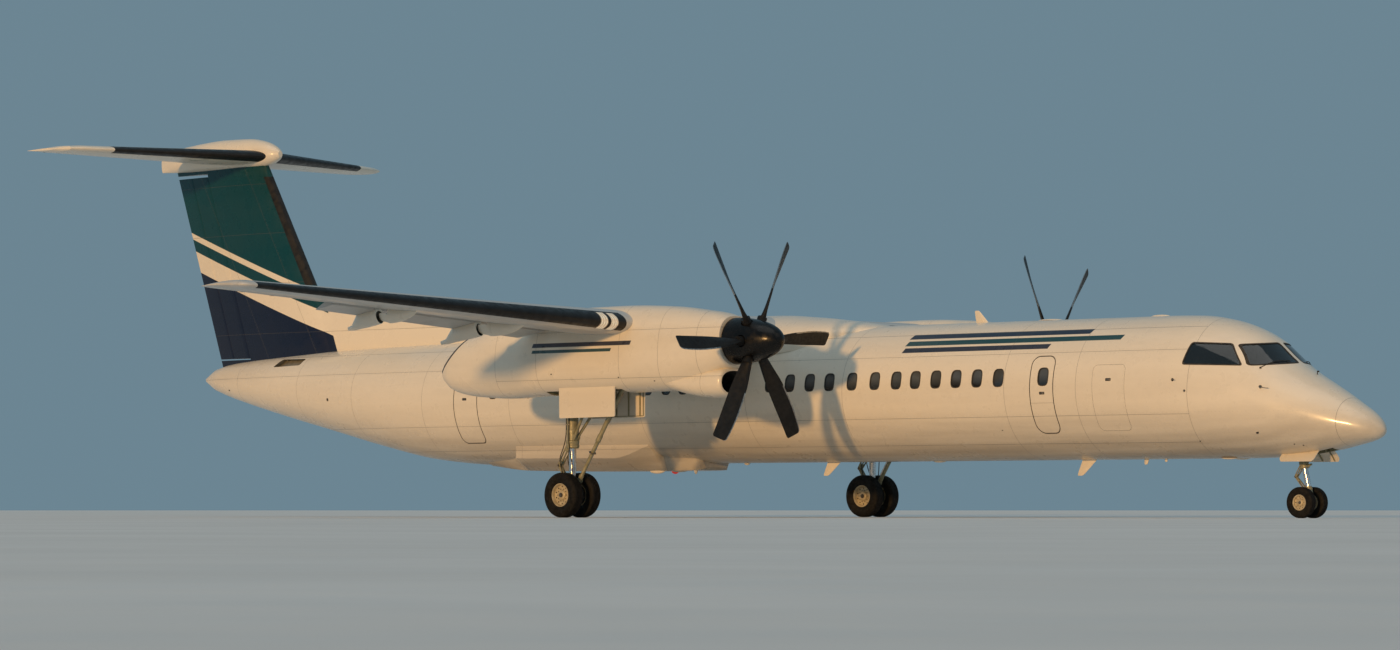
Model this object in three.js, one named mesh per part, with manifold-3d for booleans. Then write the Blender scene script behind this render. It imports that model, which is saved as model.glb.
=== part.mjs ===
// A twin turboprop airliner with a high wing and a T-tail, standing on its landing gear.
// Units are millimetres. +X points to the nose, +Y to the left wing, +Z up.
// The origin is on the ground, below the middle of the whole length and span.

import * as THREE from 'three';
import { mergeVertices } from 'three/addons/utils/BufferGeometryUtils.js';
import Module from 'manifold-3d';

const wasm = await Module();
wasm.setup();

const { Vector3, MathUtils } = THREE;
const RIGHT = -1;
const LEFT = 1;
const SIDES = [
  ['right', RIGHT],
  ['left', LEFT],
];

// Clearances
const SEAT_GAP = 0.4;
const HINGE_GAP = 14;
const END_GAP = 12;
const AXLE_GAP = 0.75;
const TONGUE = { length: 40, halfWidth: 12, halfHeight: 6 };

// Fuselage
const NOSE_TIP_X = 16415;
const RADOME_X = 15760;
const DECK_BULKHEAD_X = 11300;
const FORWARD_JOINT_X = 5000;
const AFT_JOINT_X = -4000;
const TAIL_JOINT_X = -10900;
const SKIN = 60;
const TAIL_HOLLOW_X = -13000;
const TAIL_END_X = -14850;
const RING_POINTS = 28;

// Columns: x, top z, bottom z, half width, z of the widest line.
const FUSELAGE_SECTIONS = [
  [16415, 1600, 1500, 60, 1550],
  [16340, 1720, 1420, 185, 1560],
  [16150, 1880, 1350, 350, 1600],
  [15840, 2070, 1280, 505, 1660],
  [15550, 2245, 1220, 635, 1720],
  [15200, 2440, 1160, 765, 1800],
  [14800, 2665, 1110, 885, 1890],
  [14560, 2835, 1092, 960, 1940],
  [14300, 3060, 1082, 1020, 1990],
  [14150, 3185, 1078, 1050, 2020],
  [13750, 3400, 1072, 1130, 2100],
  [13200, 3570, 1070, 1215, 2200],
  [12600, 3660, 1070, 1285, 2290],
  [11800, 3680, 1070, 1330, 2350],
  [11000, 3680, 1070, 1345, 2375],
  [-4200, 3680, 1070, 1345, 2375],
  [-5600, 3665, 1080, 1335, 2380],
  [-7200, 3640, 1190, 1290, 2430],
  [-8800, 3610, 1470, 1185, 2550],
  [-10400, 3570, 1815, 1000, 2700],
  [-11900, 3510, 2135, 760, 2830],
  [-13200, 3430, 2430, 520, 2930],
  [-14100, 3340, 2660, 330, 3000],
  [-14680, 3190, 2860, 160, 3020],
  [-14850, 3080, 2970, 55, 3025],
];

// Flight deck
const DECK_FRONT_X = 14900;
const DECK_REAR_X = 11900;
const DECK_FLOOR_Z = 1620;
const PANE_DEPTH = 22;
const PANE_INSET = 6;
const PANE_EDGE_GAP = 0.5;
// Outlines of the panes: front ones in y and z, seen along X, side ones in x and z, seen along Y.
const FRONT_PANE = [[60, 3125], [60, 2765], [860, 2710], [705, 3090]];
const SIDE_PANE = [[13700, 3105], [14010, 2715], [12900, 2750], [12960, 3140]];

// Airstair door on the left side
const DOOR_REAR_X = 9450;
const DOOR_FRONT_X = 10250;
const DOOR_SILL_Z = 1530;
const DOOR_HEAD_Z = 3090;
const VESTIBULE_Y = 250;
const DOOR_GAP = 12;
const DOOR_HINGE = { y: 1012, z: 1512, radius: 10, eyeWidth: 60, knuckleWidth: 40, fromEdge: 120 };
const STEP_COUNT = 5;
const STEP_SIZE = { width: 600, depth: 200, thickness: 24 };
const STEP_SLOPE = 55;

// Wing
const WING_LE_X = 2890;
const WING_CHORD = 2750;
const WING_ROOT_Z = 3640;
const WING_TIP_LE_X = 2480;
const WING_TIP_CHORD = 1220;
const WING_TIP_Z = 4060;
const KINK_Y = 4950;
const PANEL_JOINT_Y = 5018;
const TIP_JOINT_Y = 13900;
const WING_TIP_Y = 14210;
const WING_CAMBER = 0.022;
const FLAP_ANGLE = 15;
const FLAP_PIVOT_DROP = 700;
const FLAP_NOSE_FRACTION = 0.70;
const AILERON_HINGE_FRACTION = 0.76;
// Columns: name, inner y, outer y.
const FLAP_SPANS = [
  ['inner', 1500, 3775],
  ['outer', 5045, 10900],
];
const FLAP_OUTER_GAP = 48;
const RAIL = { radius: 520, halfHeight: 22, halfWidth: 20, firstAngle: -8, lastAngle: 40, steps: 8, gap: 0.85 };
const AILERON_SPAN = [10990, 13700];
const AILERON_HINGES = [11400, 13300];
// Columns: name of the flap that carries the tail cone, y of the fairing.
const TRACK_FAIRINGS = [
  ['inner', 2600],
  ['outer', 6950],
  ['outer', 9700],
];

// Nacelles, engines and propellers
const NACELLE_Y = 4400;
const NACELLE_POWER = 2.4;
const NACELLE_RING_POINTS = 20;
// Columns: x, top z, bottom z, half width, z of the widest line.
const NACELLE_SECTIONS = [
  [5060, 3735, 2820, 460, 3275],
  [4860, 3800, 2690, 510, 3220],
  [4400, 3870, 2500, 555, 3100],
  [3600, 3960, 2380, 590, 3000],
  [2400, 4010, 2360, 605, 2950],
  [0, 3960, 2330, 590, 2950],
  [-710, 3860, 2300, 565, 2940],
  [-1670, 3570, 2350, 500, 2900],
  [-2060, 3540, 2410, 455, 2880],
  [-2300, 3500, 2490, 410, 2880],
  [-2390, 3450, 2570, 370, 2880],
];
// The chin intake, with the same columns.
const INTAKE_SECTIONS = [
  [5010, 2760, 2255, 370, 2505],
  [4940, 2790, 2235, 405, 2505],
  [4600, 2800, 2225, 430, 2505],
  [4100, 2800, 2280, 430, 2520],
  [3500, 2790, 2420, 400, 2600],
];
const INTAKE_BORE = { halfWidth: 330, halfHeight: 205, z: 2507, innerX: 4150 };
const EXHAUST_TOP = { x: -1670, z: 3560 };
const EXHAUST_BOTTOM = { x: -2390, z: 2860 };
const EXHAUST_BORE = { halfWidth: 265, halfHeight: 300, z: 3150, innerX: -650 };
const ENGINE = { rearX: 2660, frontX: 4300, width: 680, bottomZ: 2690, topZ: 3560, noseRadius: 220 };
const FIREWALL = 60;
const PROP_X = 5530;
const PROP_Z = 3270;
const SPINNER_BACK_X = 5080;
const SPINNER_TIP_X = 6200;
const SPINNER_RADIUS = 432;
const NACELLE_SPAR_CUT = 430;
const BLADE_COUNT = 6;
// How far each parked propeller is turned about its shaft, right and left.
const PROP_PHASE = { right: 33, left: 25 };
// Columns: radius, chord, thickness, pitch angle from the plane of the disc, sweep of the middle line.
const BLADE_SECTIONS = [
  [430, 190, 120, 62, 0],
  [640, 235, 66, 55, 4],
  [1000, 300, 44, 46, 12],
  [1450, 320, 30, 37, 10],
  [1850, 300, 20, 31, -8],
  [2020, 275, 14, 29, -26],
  [2055, 215, 11, 29, -34],
];

// Main landing gear
const MAIN_AXLE_X = 830;
const MAIN_TYRE = { radius: 432, width: 254, rimRadius: 222, spacing: 490, axleRadius: 50, segments: 28 };
const MAIN_BAY = { rearX: 450, frontX: 2460, halfWidth: 330, topZ: 3040 };
const MAIN_DOOR = { rearX: 870, frontX: 2350, y: 410, bottomZ: 1890, thickness: 18 };
const MAIN_BRACE = { bottom: [1010, 700], top: [2270, 2620], radius: 44 };
const MAIN_PIVOT_Z = 2860;
const JACK_PAD = { half: 42, depth: 112 };

// Nose landing gear
const NOSE_AXLE_X = 14770;
const NOSE_TYRE = { radius: 279.5, width: 165, rimRadius: 140, spacing: 370, axleRadius: 34, segments: 24 };
const NOSE_RAKE = 13;
const NOSE_TRAIL = 95;
const NOSE_BAY = { rearX: 14330, frontX: 15480, halfWidth: 230, topZ: 1550 };
// The nose doors hang open and lean outwards: y and z of their upper and lower edge.
const NOSE_DOOR = { rearX: 14450, frontX: 15200, upper: [186, 1220], lower: [420, 1000], thickness: 14 };
const NOSE_SPLIT_Z = 1010;
const NOSE_PIVOT_Z = 1420;
const NOSE_BRACE_TOP = { x: 15250, z: 1430 };
const LAMP = { y: 105, z: 1090, radius: 62, depth: 90 };

// Tail
const FIN_FOOT = { z: 3200, leX: -10215, teX: -14294, thickness: 0.125 };
const FIN_HEAD = { z: 7760, leX: -12898, teX: -15930, thickness: 0.115 };
const FORE_RUDDER_CHORD = 1080;
const TRAILING_RUDDER_CHORD = 490;
const RUDDER_SPAN = [3475, 7540];
const RUDDER_FOOT_GAP = 30;
const RUDDER_HEAD_GAP = 70;
const RUDDER_HINGES = [3900, 5500, 7100];
// Columns: x, top z, bottom z, half width, z of the widest line.
const DORSAL_SECTIONS = [
  [-4650, 3690, 3420, 15, 3450],
  [-6780, 4010, 3300, 70, 3400],
  [-9000, 4370, 3300, 120, 3400],
  [-11300, 4745, 3300, 165, 3400],
  [-11700, 4500, 3300, 150, 3400],
];
const TAIL_CHORD_Z = 7900;
// Columns: y, leading edge x, trailing edge x, thickness ratio.
const TAILPLANE_STATIONS = [
  [0, -12650, -15400, 0.12],
  [4250, -13960, -15450, 0.11],
  [4520, -14120, -15455, 0.09],
  [4635, -14560, -15465, 0.05],
];
const ELEVATOR_SPAN = [430, 4180];
const ELEVATOR_HINGE_X = -14730;
const ELEVATOR_HINGES = [900, 3700];
// Columns: x, top z, bottom z, half width, z of the widest line.
const BULLET_SECTIONS = [
  [-12470, 8010, 7870, 60, 7940],
  [-12600, 8110, 7790, 165, 7930],
  [-12900, 8235, 7700, 260, 7920],
  [-13450, 8325, 7660, 325, 7910],
  [-14300, 8340, 7655, 340, 7900],
  [-15050, 8300, 7665, 300, 7900],
  [-15750, 8235, 7690, 205, 7910],
  [-16415, 8150, 7720, 40, 7930],
];

const BELLY_Z = 925;
// Fairings under and over the cabin. Columns: x, lower z, half width of the flat bottom, chine half width, chine z.
const BELLY_SECTIONS = [
  [520, 990, 300, 420, 1145],
  [450, 940, 380, 500, 1174],
  [-360, BELLY_Z, 480, 600, 1217],
  [-460, BELLY_Z, 480, 940, 1422],
  [-1400, BELLY_Z, 500, 950, 1181],
  [-2400, BELLY_Z, 500, 950, 1188],
  [-4180, 950, 500, 950, 1201],
  [-4300, 953, 470, 720, 1283],
  [-5600, 1060, 200, 400, 1150],
];
// Columns: x, top z, half width at the foot, z of the foot.
const SADDLE_SECTIONS = [
  [5200, 3665, 300, 3560],
  [4300, 3790, 760, 3380],
  [3200, 3905, 1080, 3180],
  [2300, 3960, 1130, 3120],
  [900, 3960, 1130, 3120],
  [-300, 3880, 1040, 3210],
  [-1500, 3760, 760, 3400],
  [-2600, 3665, 300, 3580],
];

// Paints and metals. Columns: colour, roughness, metalness.
const FINISHES = {
  white: [0xe9e7e1, 0.28, 0],
  teal: [0x0b5f5c, 0.3, 0],
  boot: [0x15171b, 0.55, 0],
  grey: [0x8d9196, 0.4, 0.2],
  gearMetal: [0x8f8b6c, 0.45, 0.6],
  rim: [0xc9b389, 0.4, 0.5],
  rubber: [0x141414, 0.85, 0],
  blade: [0x1c1d20, 0.4, 0],
  steel: [0x7c7f83, 0.35, 0.9],
  glass: [0x232a31, 0.05, 0],
  interior: [0x3f4347, 0.8, 0],
};

const aircraft = new THREE.Group();

function add(name, finish, solid) {
  const [color, roughness, metalness] = FINISHES[finish];
  const material = new THREE.MeshStandardMaterial({ color, roughness, metalness });
  const mesh = new THREE.Mesh(toGeometry(solid), material);
  mesh.name = name;
  aircraft.add(mesh);
}

// Solids and geometry

function toSolid(source) {
  const bare = source.clone();
  bare.deleteAttribute('normal');
  bare.deleteAttribute('uv');
  const merged = mergeVertices(bare, 1e-3);
  const vertProperties = new Float32Array(merged.attributes.position.array);
  const faces = [];
  for (let i = 0; i < merged.index.count; i += 3) {
    const [a, b, c] = merged.index.array.slice(i, i + 3);
    if (a !== b && b !== c && c !== a) faces.push(a, b, c);
  }
  const triVerts = new Uint32Array(faces);
  return new wasm.Manifold(new wasm.Mesh({ numProp: 3, vertProperties, triVerts }));
}

function toGeometry(solid) {
  const mesh = solid.getMesh();
  const geometry = new THREE.BufferGeometry();
  geometry.setAttribute('position', new THREE.BufferAttribute(new Float32Array(mesh.vertProperties), 3));
  geometry.setIndex(new THREE.BufferAttribute(new Uint32Array(mesh.triVerts), 1));
  geometry.computeVertexNormals();
  return geometry;
}

function signedVolume(positions, triangles) {
  let volume = 0;
  for (const [a, b, c] of triangles) {
    volume += positions[a].dot(new Vector3().crossVectors(positions[b], positions[c]));
  }
  return volume;
}

// Triangles that close one end ring, found in the ring's own plane.
function capTriangles(ring, first) {
  const normal = new Vector3();
  ring.forEach((point, i) => normal.add(new Vector3().crossVectors(point, ring[(i + 1) % ring.length])));
  normal.normalize();
  const helper = Math.abs(normal.z) < 0.9 ? new Vector3(0, 0, 1) : new Vector3(1, 0, 0);
  const u = new Vector3().crossVectors(helper, normal).normalize();
  const v = new Vector3().crossVectors(normal, u);
  const contour = ring.map((point) => new THREE.Vector2(point.dot(u), point.dot(v)));
  return THREE.ShapeUtils.triangulateShape(contour, []).map((face) => face.map((i) => i + first));
}

// A closed solid through rings with the same number of points.
function loft(rings) {
  const count = rings[0].length;
  const positions = rings.flat();
  const walls = [];
  for (let r = 0; r < rings.length - 1; r += 1) {
    for (let i = 0; i < count; i += 1) {
      const a = r * count + i;
      const b = r * count + ((i + 1) % count);
      walls.push([a, b, b + count], [a, b + count, a + count]);
    }
  }
  const start = capTriangles(rings[0], 0).map(([a, b, c]) => [a, c, b]);
  const end = capTriangles(rings[rings.length - 1], positions.length - count);
  const triangles = [...walls, ...start, ...end];
  if (signedVolume(positions, triangles) < 0) {
    triangles.forEach((face) => face.reverse());
  }
  const geometry = new THREE.BufferGeometry();
  geometry.setAttribute('position', new THREE.Float32BufferAttribute(positions.flatMap((p) => p.toArray()), 3));
  geometry.setIndex(triangles.flat());
  return toSolid(geometry);
}

function box(x0, x1, y0, y1, z0, z1) {
  const geometry = new THREE.BoxGeometry(x1 - x0, y1 - y0, z1 - z0);
  geometry.translate((x0 + x1) / 2, (y0 + y1) / 2, (z0 + z1) / 2);
  return toSolid(geometry);
}

// A cylinder, or a cone, between two points.
function rod(from, to, radius, segments = 10, endRadius = radius) {
  const a = new Vector3(...from);
  const b = new Vector3(...to);
  const axis = b.clone().sub(a);
  const geometry = new THREE.CylinderGeometry(endRadius, radius, axis.length(), segments);
  geometry.applyQuaternion(new THREE.Quaternion().setFromUnitVectors(new Vector3(0, 1, 0), axis.clone().normalize()));
  geometry.translate(...a.add(b).multiplyScalar(0.5).toArray());
  return toSolid(geometry);
}

// A body turned about a line along Y, with a flat facet at its foot. The profile holds [radius, y] points.
function turnedAboutY(profile, x, y, z, segments) {
  const points = profile.map(([r, h]) => new THREE.Vector2(r, h));
  const geometry = new THREE.LatheGeometry(points, segments, Math.PI / segments);
  geometry.translate(x, y, z);
  const solid = toSolid(geometry);
  return solid.volume() < 0 ? toSolid(flipped(geometry)) : solid;
}

function flipped(geometry) {
  const index = Array.from(geometry.index.array);
  for (let i = 0; i < index.length; i += 3) {
    [index[i], index[i + 1]] = [index[i + 1], index[i]];
  }
  const result = geometry.clone();
  result.setIndex(index);
  return result;
}

// A prism: an outline in two axes, swept along the third.
function prism(outline, place, from, to) {
  const ring = (depth) => outline.map(([u, v]) => new Vector3(...place(u, v, depth)));
  return loft([ring(from), ring(to)]);
}

const seenAlongY = (x, z, y) => [x, y, z];
const seenAlongX = (y, z, x) => [x, y, z];

function join(solids) {
  return solids.reduce((whole, solid) => whole.add(solid));
}

function mirrored(solid, side) {
  return side === LEFT ? solid : solid.mirror([0, 1, 0]);
}

// Sections and lofts of the round bodies

function interpolateRow(table, x) {
  const next = table.findIndex((row) => row[0] <= x);
  if (next === 0) return [...table[0]];
  if (next < 0) return [...table[table.length - 1]];
  const [before, after] = [table[next - 1], table[next]];
  const t = (x - before[0]) / (after[0] - before[0]);
  return before.map((value, i) => MathUtils.lerp(value, after[i], t));
}

// A ring of points round an oval section, drawn in by an inset.
function ovalRing([x, top, bottom, halfWidth, middle], { inset = 0, power = 2, y = 0, count = RING_POINTS } = {}) {
  const ring = [];
  for (let i = 0; i < count; i += 1) {
    const angle = (2 * Math.PI * i) / count;
    const [c, s] = [Math.cos(angle), Math.sin(angle)];
    const reach = s > 0 ? top - middle : middle - bottom;
    const across = Math.sign(c) * Math.abs(c) ** (2 / power) * (halfWidth - inset);
    const up = Math.sign(s) * Math.abs(s) ** (2 / power) * (reach - inset);
    ring.push(new Vector3(x, y + across, middle + up));
  }
  return ring;
}

function ovalBody(table, fromX, toX, options = {}) {
  const inner = table.filter((row) => row[0] < fromX - 1 && row[0] > toX + 1);
  const rows = [interpolateRow(table, fromX), ...inner, interpolateRow(table, toX)];
  return loft(rows.map((row) => ovalRing(row, options)));
}

function fuselageBody(fromX, toX, inset = 0) {
  return ovalBody(FUSELAGE_SECTIONS, fromX, toX, { inset });
}

// Aerofoil sections

const FOIL_FRACTIONS = [0, 0.015, 0.07, 0.2, 0.42, 0.68, 0.86, 1];

function foilHalf(thickness, f) {
  const edge = 0.0014;
  const shape = 0.2969 * Math.sqrt(f) - 0.126 * f - 0.3516 * f ** 2 + 0.2843 * f ** 3 - 0.1036 * f ** 4;
  return 5 * thickness * shape + edge * f;
}

function foilCamber(camber, f) {
  return 4 * camber * f * (1 - f);
}

// A station has its leading edge as a point, a chord along -X and a direction for its thickness.
function foilPoint(station, f, offset) {
  const { edge, chord, up, camber } = station;
  const lift = chord * (foilCamber(camber, f) + offset);
  return edge.clone().add(new Vector3(-chord * f, 0, 0)).addScaledVector(up, lift);
}

function foilRing(station, grow = 0) {
  const half = (f) => foilHalf(station.thickness, f) + grow / station.chord;
  const upper = FOIL_FRACTIONS.map((f) => foilPoint(station, f, half(f)));
  const lower = FOIL_FRACTIONS.slice().reverse().map((f) => foilPoint(station, f, -half(f)));
  return grow ? [...upper, ...lower] : [...upper, ...lower.slice(0, -1)];
}

// The hinge of a control surface at one station: its centre and the radius of the surface there.
function hingeAt(station, fraction) {
  return {
    centre: foilPoint(station, fraction, 0),
    radius: station.chord * foilHalf(station.thickness, fraction),
  };
}

function noseArc({ centre, radius }, up, steps = 6) {
  const arc = [];
  for (let i = 0; i <= steps; i += 1) {
    const angle = Math.PI / 2 - (Math.PI * i) / steps;
    arc.push(centre.clone().add(new Vector3(radius * Math.cos(angle), 0, 0)).addScaledVector(up, radius * Math.sin(angle)));
  }
  return arc;
}

// The moving surface behind a hinge.
function surfaceRing(station, fraction) {
  const hinge = hingeAt(station, fraction);
  const steps = [0.5, 1].map((t) => MathUtils.lerp(fraction, 1, t));
  const lower = steps.map((f) => foilPoint(station, f, -foilHalf(station.thickness, f)));
  const upper = [...steps].reverse().map((f) => foilPoint(station, f, foilHalf(station.thickness, f)));
  return [...noseArc(hinge, station.up), ...lower, ...upper];
}

// What is cut from the fixed body to make room for the moving surface behind a hinge.
function coveRing(station, fraction) {
  const hinge = hingeAt(station, fraction);
  const tall = 700;
  const aft = station.chord * (1 - fraction) + 600;
  const arc = noseArc({ centre: hinge.centre, radius: hinge.radius + HINGE_GAP }, station.up);
  const corner = (back, lift) => hinge.centre.clone().add(new Vector3(-back, 0, 0)).addScaledVector(station.up, lift);
  return [...arc, corner(0, -tall), corner(aft, -tall), corner(aft, tall), corner(0, tall)];
}

// Small brackets in the cove, each reaching the round nose of the surface that it carries.
function hingeTongues(stationAt, fractionAt, [from, to], places) {
  const { up } = stationAt(from);
  const span = new Vector3(1, 0, 0).cross(up);
  const [first, last] = [from, to].map((place) => hingeAt(stationAt(place), fractionAt(place)));
  return join(places.map((place) => {
    const t = (place - from) / (to - from);
    const centre = first.centre.clone().lerp(last.centre, t);
    const slope = Math.abs((last.centre.x + last.radius - first.centre.x - first.radius) / (to - from));
    const ring = (x) => [[1, 1], [1, -1], [-1, -1], [-1, 1]].map(([along, lift]) => new Vector3(x, centre.y, centre.z)
      .addScaledVector(span, along * TONGUE.halfWidth)
      .addScaledVector(up, lift * TONGUE.halfHeight));
    const front = centre.x + MathUtils.lerp(first.radius, last.radius, t) + slope * TONGUE.halfWidth + SEAT_GAP;
    return loft([ring(front), ring(front + TONGUE.length)]);
  }));
}

// Fuselage

function paneSolids() {
  const skin = fuselageBody(15000, 12600, PANE_INSET).subtract(fuselageBody(15001, 12599, PANE_INSET + PANE_DEPTH));
  const shrink = (outline) => {
    const centre = outline.reduce(([a, b], [u, v]) => [a + u / outline.length, b + v / outline.length], [0, 0]);
    return outline.map(([u, v]) => {
      const length = Math.hypot(u - centre[0], v - centre[1]);
      const keep = 1 - (2 * PANE_EDGE_GAP) / length;
      return [centre[0] + (u - centre[0]) * keep, centre[1] + (v - centre[1]) * keep];
    });
  };
  const front = skin.intersect(prism(shrink(FRONT_PANE), seenAlongX, 13500, 15000));
  const side = skin.intersect(prism(shrink(SIDE_PANE), seenAlongY, 300, 1500));
  return { front, side };
}

function noseSection() {
  const outer = fuselageBody(RADOME_X, DECK_BULKHEAD_X);
  const cavity = ovalBody(FUSELAGE_SECTIONS, DECK_FRONT_X, DECK_REAR_X, { inset: SKIN, count: 18 })
    .intersect(box(DECK_REAR_X, DECK_FRONT_X, -1400, 1400, DECK_FLOOR_Z, 3700));
  const bay = box(NOSE_BAY.rearX, NOSE_BAY.frontX, -NOSE_BAY.halfWidth, NOSE_BAY.halfWidth, 900, NOSE_BAY.topZ);
  const frontHole = prism(FRONT_PANE, seenAlongX, 13500, 15000);
  const sideHole = prism(SIDE_PANE, seenAlongY, 300, 1500);
  const holes = [frontHole, frontHole.mirror([0, 1, 0]), sideHole, sideHole.mirror([0, 1, 0])];
  return outer.subtract(cavity).subtract(bay).subtract(join(holes));
}

// Floor, two seats, the glareshield with its panel, and the pedestal, in one piece.
function flightDeckInterior() {
  const floor = DECK_FLOOR_Z + SEAT_GAP;
  const pieces = [
    box(12300, 14500, -640, 640, floor, floor + 20),
    box(14080, 14480, -600, 600, floor + 10, 2480),
    box(13900, 14500, -590, 590, 2440, 2560),
    box(13200, 14100, -150, 150, floor + 10, 2260),
  ];
  for (const y of [-420, 420]) {
    pieces.push(box(12900, 13320, y - 230, y + 230, floor + 10, 2040));
    pieces.push(box(12780, 12930, y - 230, y + 230, floor + 10, 2720));
    pieces.push(box(12800, 12910, y - 120, y + 120, 2700, 2880));
  }
  return join(pieces);
}

function doorway(gap, deep) {
  return box(DOOR_REAR_X + gap, DOOR_FRONT_X - gap, deep, 1600, DOOR_SILL_Z + gap, DOOR_HEAD_Z - gap);
}

// Where the two hinge eyes of the airstair door start, along X.
function doorEyes() {
  const { eyeWidth, fromEdge } = DOOR_HINGE;
  return [DOOR_REAR_X + fromEdge, DOOR_FRONT_X - fromEdge - eyeWidth];
}

function forwardFuselage() {
  const { y, z, radius, eyeWidth, knuckleWidth } = DOOR_HINGE;
  const knuckle = (from) => rod([from, y, z], [from + knuckleWidth, y, z], radius);
  const notches = doorEyes().map((x) => box(x - SEAT_GAP, x + eyeWidth + SEAT_GAP, y - 27, y + 90, z - 22, z + 22));
  const knuckles = doorEyes().flatMap((x) => [knuckle(x - knuckleWidth - SEAT_GAP), knuckle(x + eyeWidth + SEAT_GAP)]);
  const body = fuselageBody(DECK_BULKHEAD_X, FORWARD_JOINT_X);
  return body.subtract(doorway(0, VESTIBULE_Y)).subtract(join(notches)).add(join(knuckles));
}

// An eye on the hinge line and the arm that joins it to the foot of the door.
function doorEye(x) {
  const { y, z, radius, eyeWidth } = DOOR_HINGE;
  const arm = [[y - 9, z - 4], [y + 9, z - 4], [y + 24, z + 44], [y + 4, z + 44]];
  return rod([x, y, z], [x + eyeWidth, y, z], radius).add(prism(arm, seenAlongX, x, x + eyeWidth));
}

// The door's curved skin with its folded treads inside, level when the door is down.
function airstairDoor() {
  const from = DOOR_FRONT_X + 100;
  const to = DOOR_REAR_X - 100;
  const skin = fuselageBody(from, to).subtract(fuselageBody(from + 1, to - 1, SKIN));
  const panel = skin.intersect(doorway(DOOR_GAP, 500));
  const middleX = (DOOR_REAR_X + DOOR_FRONT_X) / 2;
  const treads = [];
  for (let i = 0; i < STEP_COUNT; i += 1) {
    const z = DOOR_SILL_Z + 190 + (i * (DOOR_HEAD_Z - DOOR_SILL_Z - 440)) / (STEP_COUNT - 1);
    const [, top, bottom, halfWidth, middle] = interpolateRow(FUSELAGE_SECTIONS, middleX);
    const reach = z > middle ? top - middle : middle - bottom;
    const wallY = (halfWidth - SKIN) * Math.sqrt(1 - ((z - middle) / (reach - SKIN)) ** 2);
    const slope = MathUtils.degToRad(STEP_SLOPE);
    const across = [Math.sin(slope) * STEP_SIZE.thickness, Math.cos(slope) * STEP_SIZE.thickness];
    const root = [wallY + 25 * Math.cos(slope), z - 25 * Math.sin(slope)];
    const tip = [wallY - Math.cos(slope) * STEP_SIZE.depth, z + Math.sin(slope) * STEP_SIZE.depth];
    const outline = [root, tip, [tip[0] + across[0], tip[1] + across[1]], [root[0] + across[0], root[1] + across[1]]];
    treads.push(prism(outline, seenAlongX, middleX - STEP_SIZE.width / 2, middleX + STEP_SIZE.width / 2));
  }
  return join([panel, ...treads, ...doorEyes().map(doorEye)]);
}

function bellyFairing() {
  const rings = BELLY_SECTIONS.map(([x, low, flat, chine, chineZ]) => [
    new Vector3(x, -flat, low),
    new Vector3(x, flat, low),
    new Vector3(x, chine, chineZ),
    new Vector3(x, chine * 0.97, chineZ + 330),
    new Vector3(x, -chine * 0.97, chineZ + 330),
    new Vector3(x, -chine, chineZ),
  ]);
  return loft(rings).subtract(fuselageBody(2200, -6200, -SEAT_GAP));
}

function saddleFairing() {
  const rings = SADDLE_SECTIONS.map(([x, top, foot, footZ]) => {
    const ring = [];
    for (let i = 0; i <= 10; i += 1) {
      const angle = (Math.PI * i) / 10;
      const lift = Math.sin(angle) ** 0.7;
      ring.push(new Vector3(x, foot * Math.cos(angle), footZ + (top - footZ) * lift));
    }
    return ring;
  });
  return loft(rings);
}

function buildFuselage(seat) {
  add('radome', 'white', fuselageBody(NOSE_TIP_X, RADOME_X));
  add('nose_section', 'white', noseSection());
  const { front, side } = paneSolids();
  for (const [name, sign] of SIDES) {
    add(`windshield_${name}`, 'glass', mirrored(front, sign));
    add(`side_window_${name}`, 'glass', mirrored(side, sign));
  }
  add('flight_deck_interior', 'interior', flightDeckInterior());
  add('forward_fuselage', 'white', forwardFuselage());
  add('airstair_door', 'white', airstairDoor());
  const saddle = saddleFairing();
  const centre = fuselageBody(FORWARD_JOINT_X, AFT_JOINT_X);
  add('centre_fuselage', 'white', centre.subtract(seat));
  add('belly_fairing', 'white', bellyFairing());
  const aroundFuselage = fuselageBody(5600, -3200, -SEAT_GAP);
  add('wing_root_fairing', 'white', saddle.subtract(aroundFuselage).subtract(seat));
  const hollow = ovalBody(FUSELAGE_SECTIONS, AFT_JOINT_X + 1, TAIL_HOLLOW_X, { inset: SKIN, count: 20 });
  add('aft_fuselage', 'white', fuselageBody(AFT_JOINT_X, TAIL_JOINT_X).subtract(hollow));
  add('tail_cone', 'white', fuselageBody(TAIL_JOINT_X, TAIL_END_X).subtract(hollow));
}

// Wing

function wingStation(y) {
  const t = Math.max(0, (y - KINK_Y) / (WING_TIP_Y - KINK_Y));
  const chord = MathUtils.lerp(WING_CHORD, WING_TIP_CHORD, t);
  const edge = new Vector3(MathUtils.lerp(WING_LE_X, WING_TIP_LE_X, t), y, MathUtils.lerp(WING_ROOT_Z, WING_TIP_Z, t));
  const thickness = MathUtils.lerp(0.18, 0.13, t);
  return { edge, chord, up: new Vector3(0, 0, 1), camber: WING_CAMBER, thickness };
}

function wingBetween(y0, y1) {
  const rows = [y0, ...[KINK_Y].filter((y) => y > y0 && y < y1), y1];
  return loft(rows.map((y) => foilRing(wingStation(y))));
}

// The room that the fuselage, the fairing and the nacelles leave for the wing.
function wingSeat() {
  const rows = [-5200, -KINK_Y, KINK_Y, 5200];
  const seat = loft(rows.map((y) => {
    const station = wingStation(Math.abs(y));
    station.edge.y = y;
    station.edge.x += SEAT_GAP;
    station.chord += 2 * SEAT_GAP;
    return foilRing(station, SEAT_GAP);
  }));
  return seat.subtract(sparCut(SEAT_GAP));
}

// The leading edge is cut away inside each nacelle, to leave room for the engine.
function sparCut(gap) {
  const half = NACELLE_SPAR_CUT - gap;
  const fromX = ENGINE.rearX - FIREWALL + gap;
  return join(SIDES.map(([, sign]) => box(
    fromX, WING_LE_X + 100, sign * NACELLE_Y - half, sign * NACELLE_Y + half, 3000, 4300,
  )));
}

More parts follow.
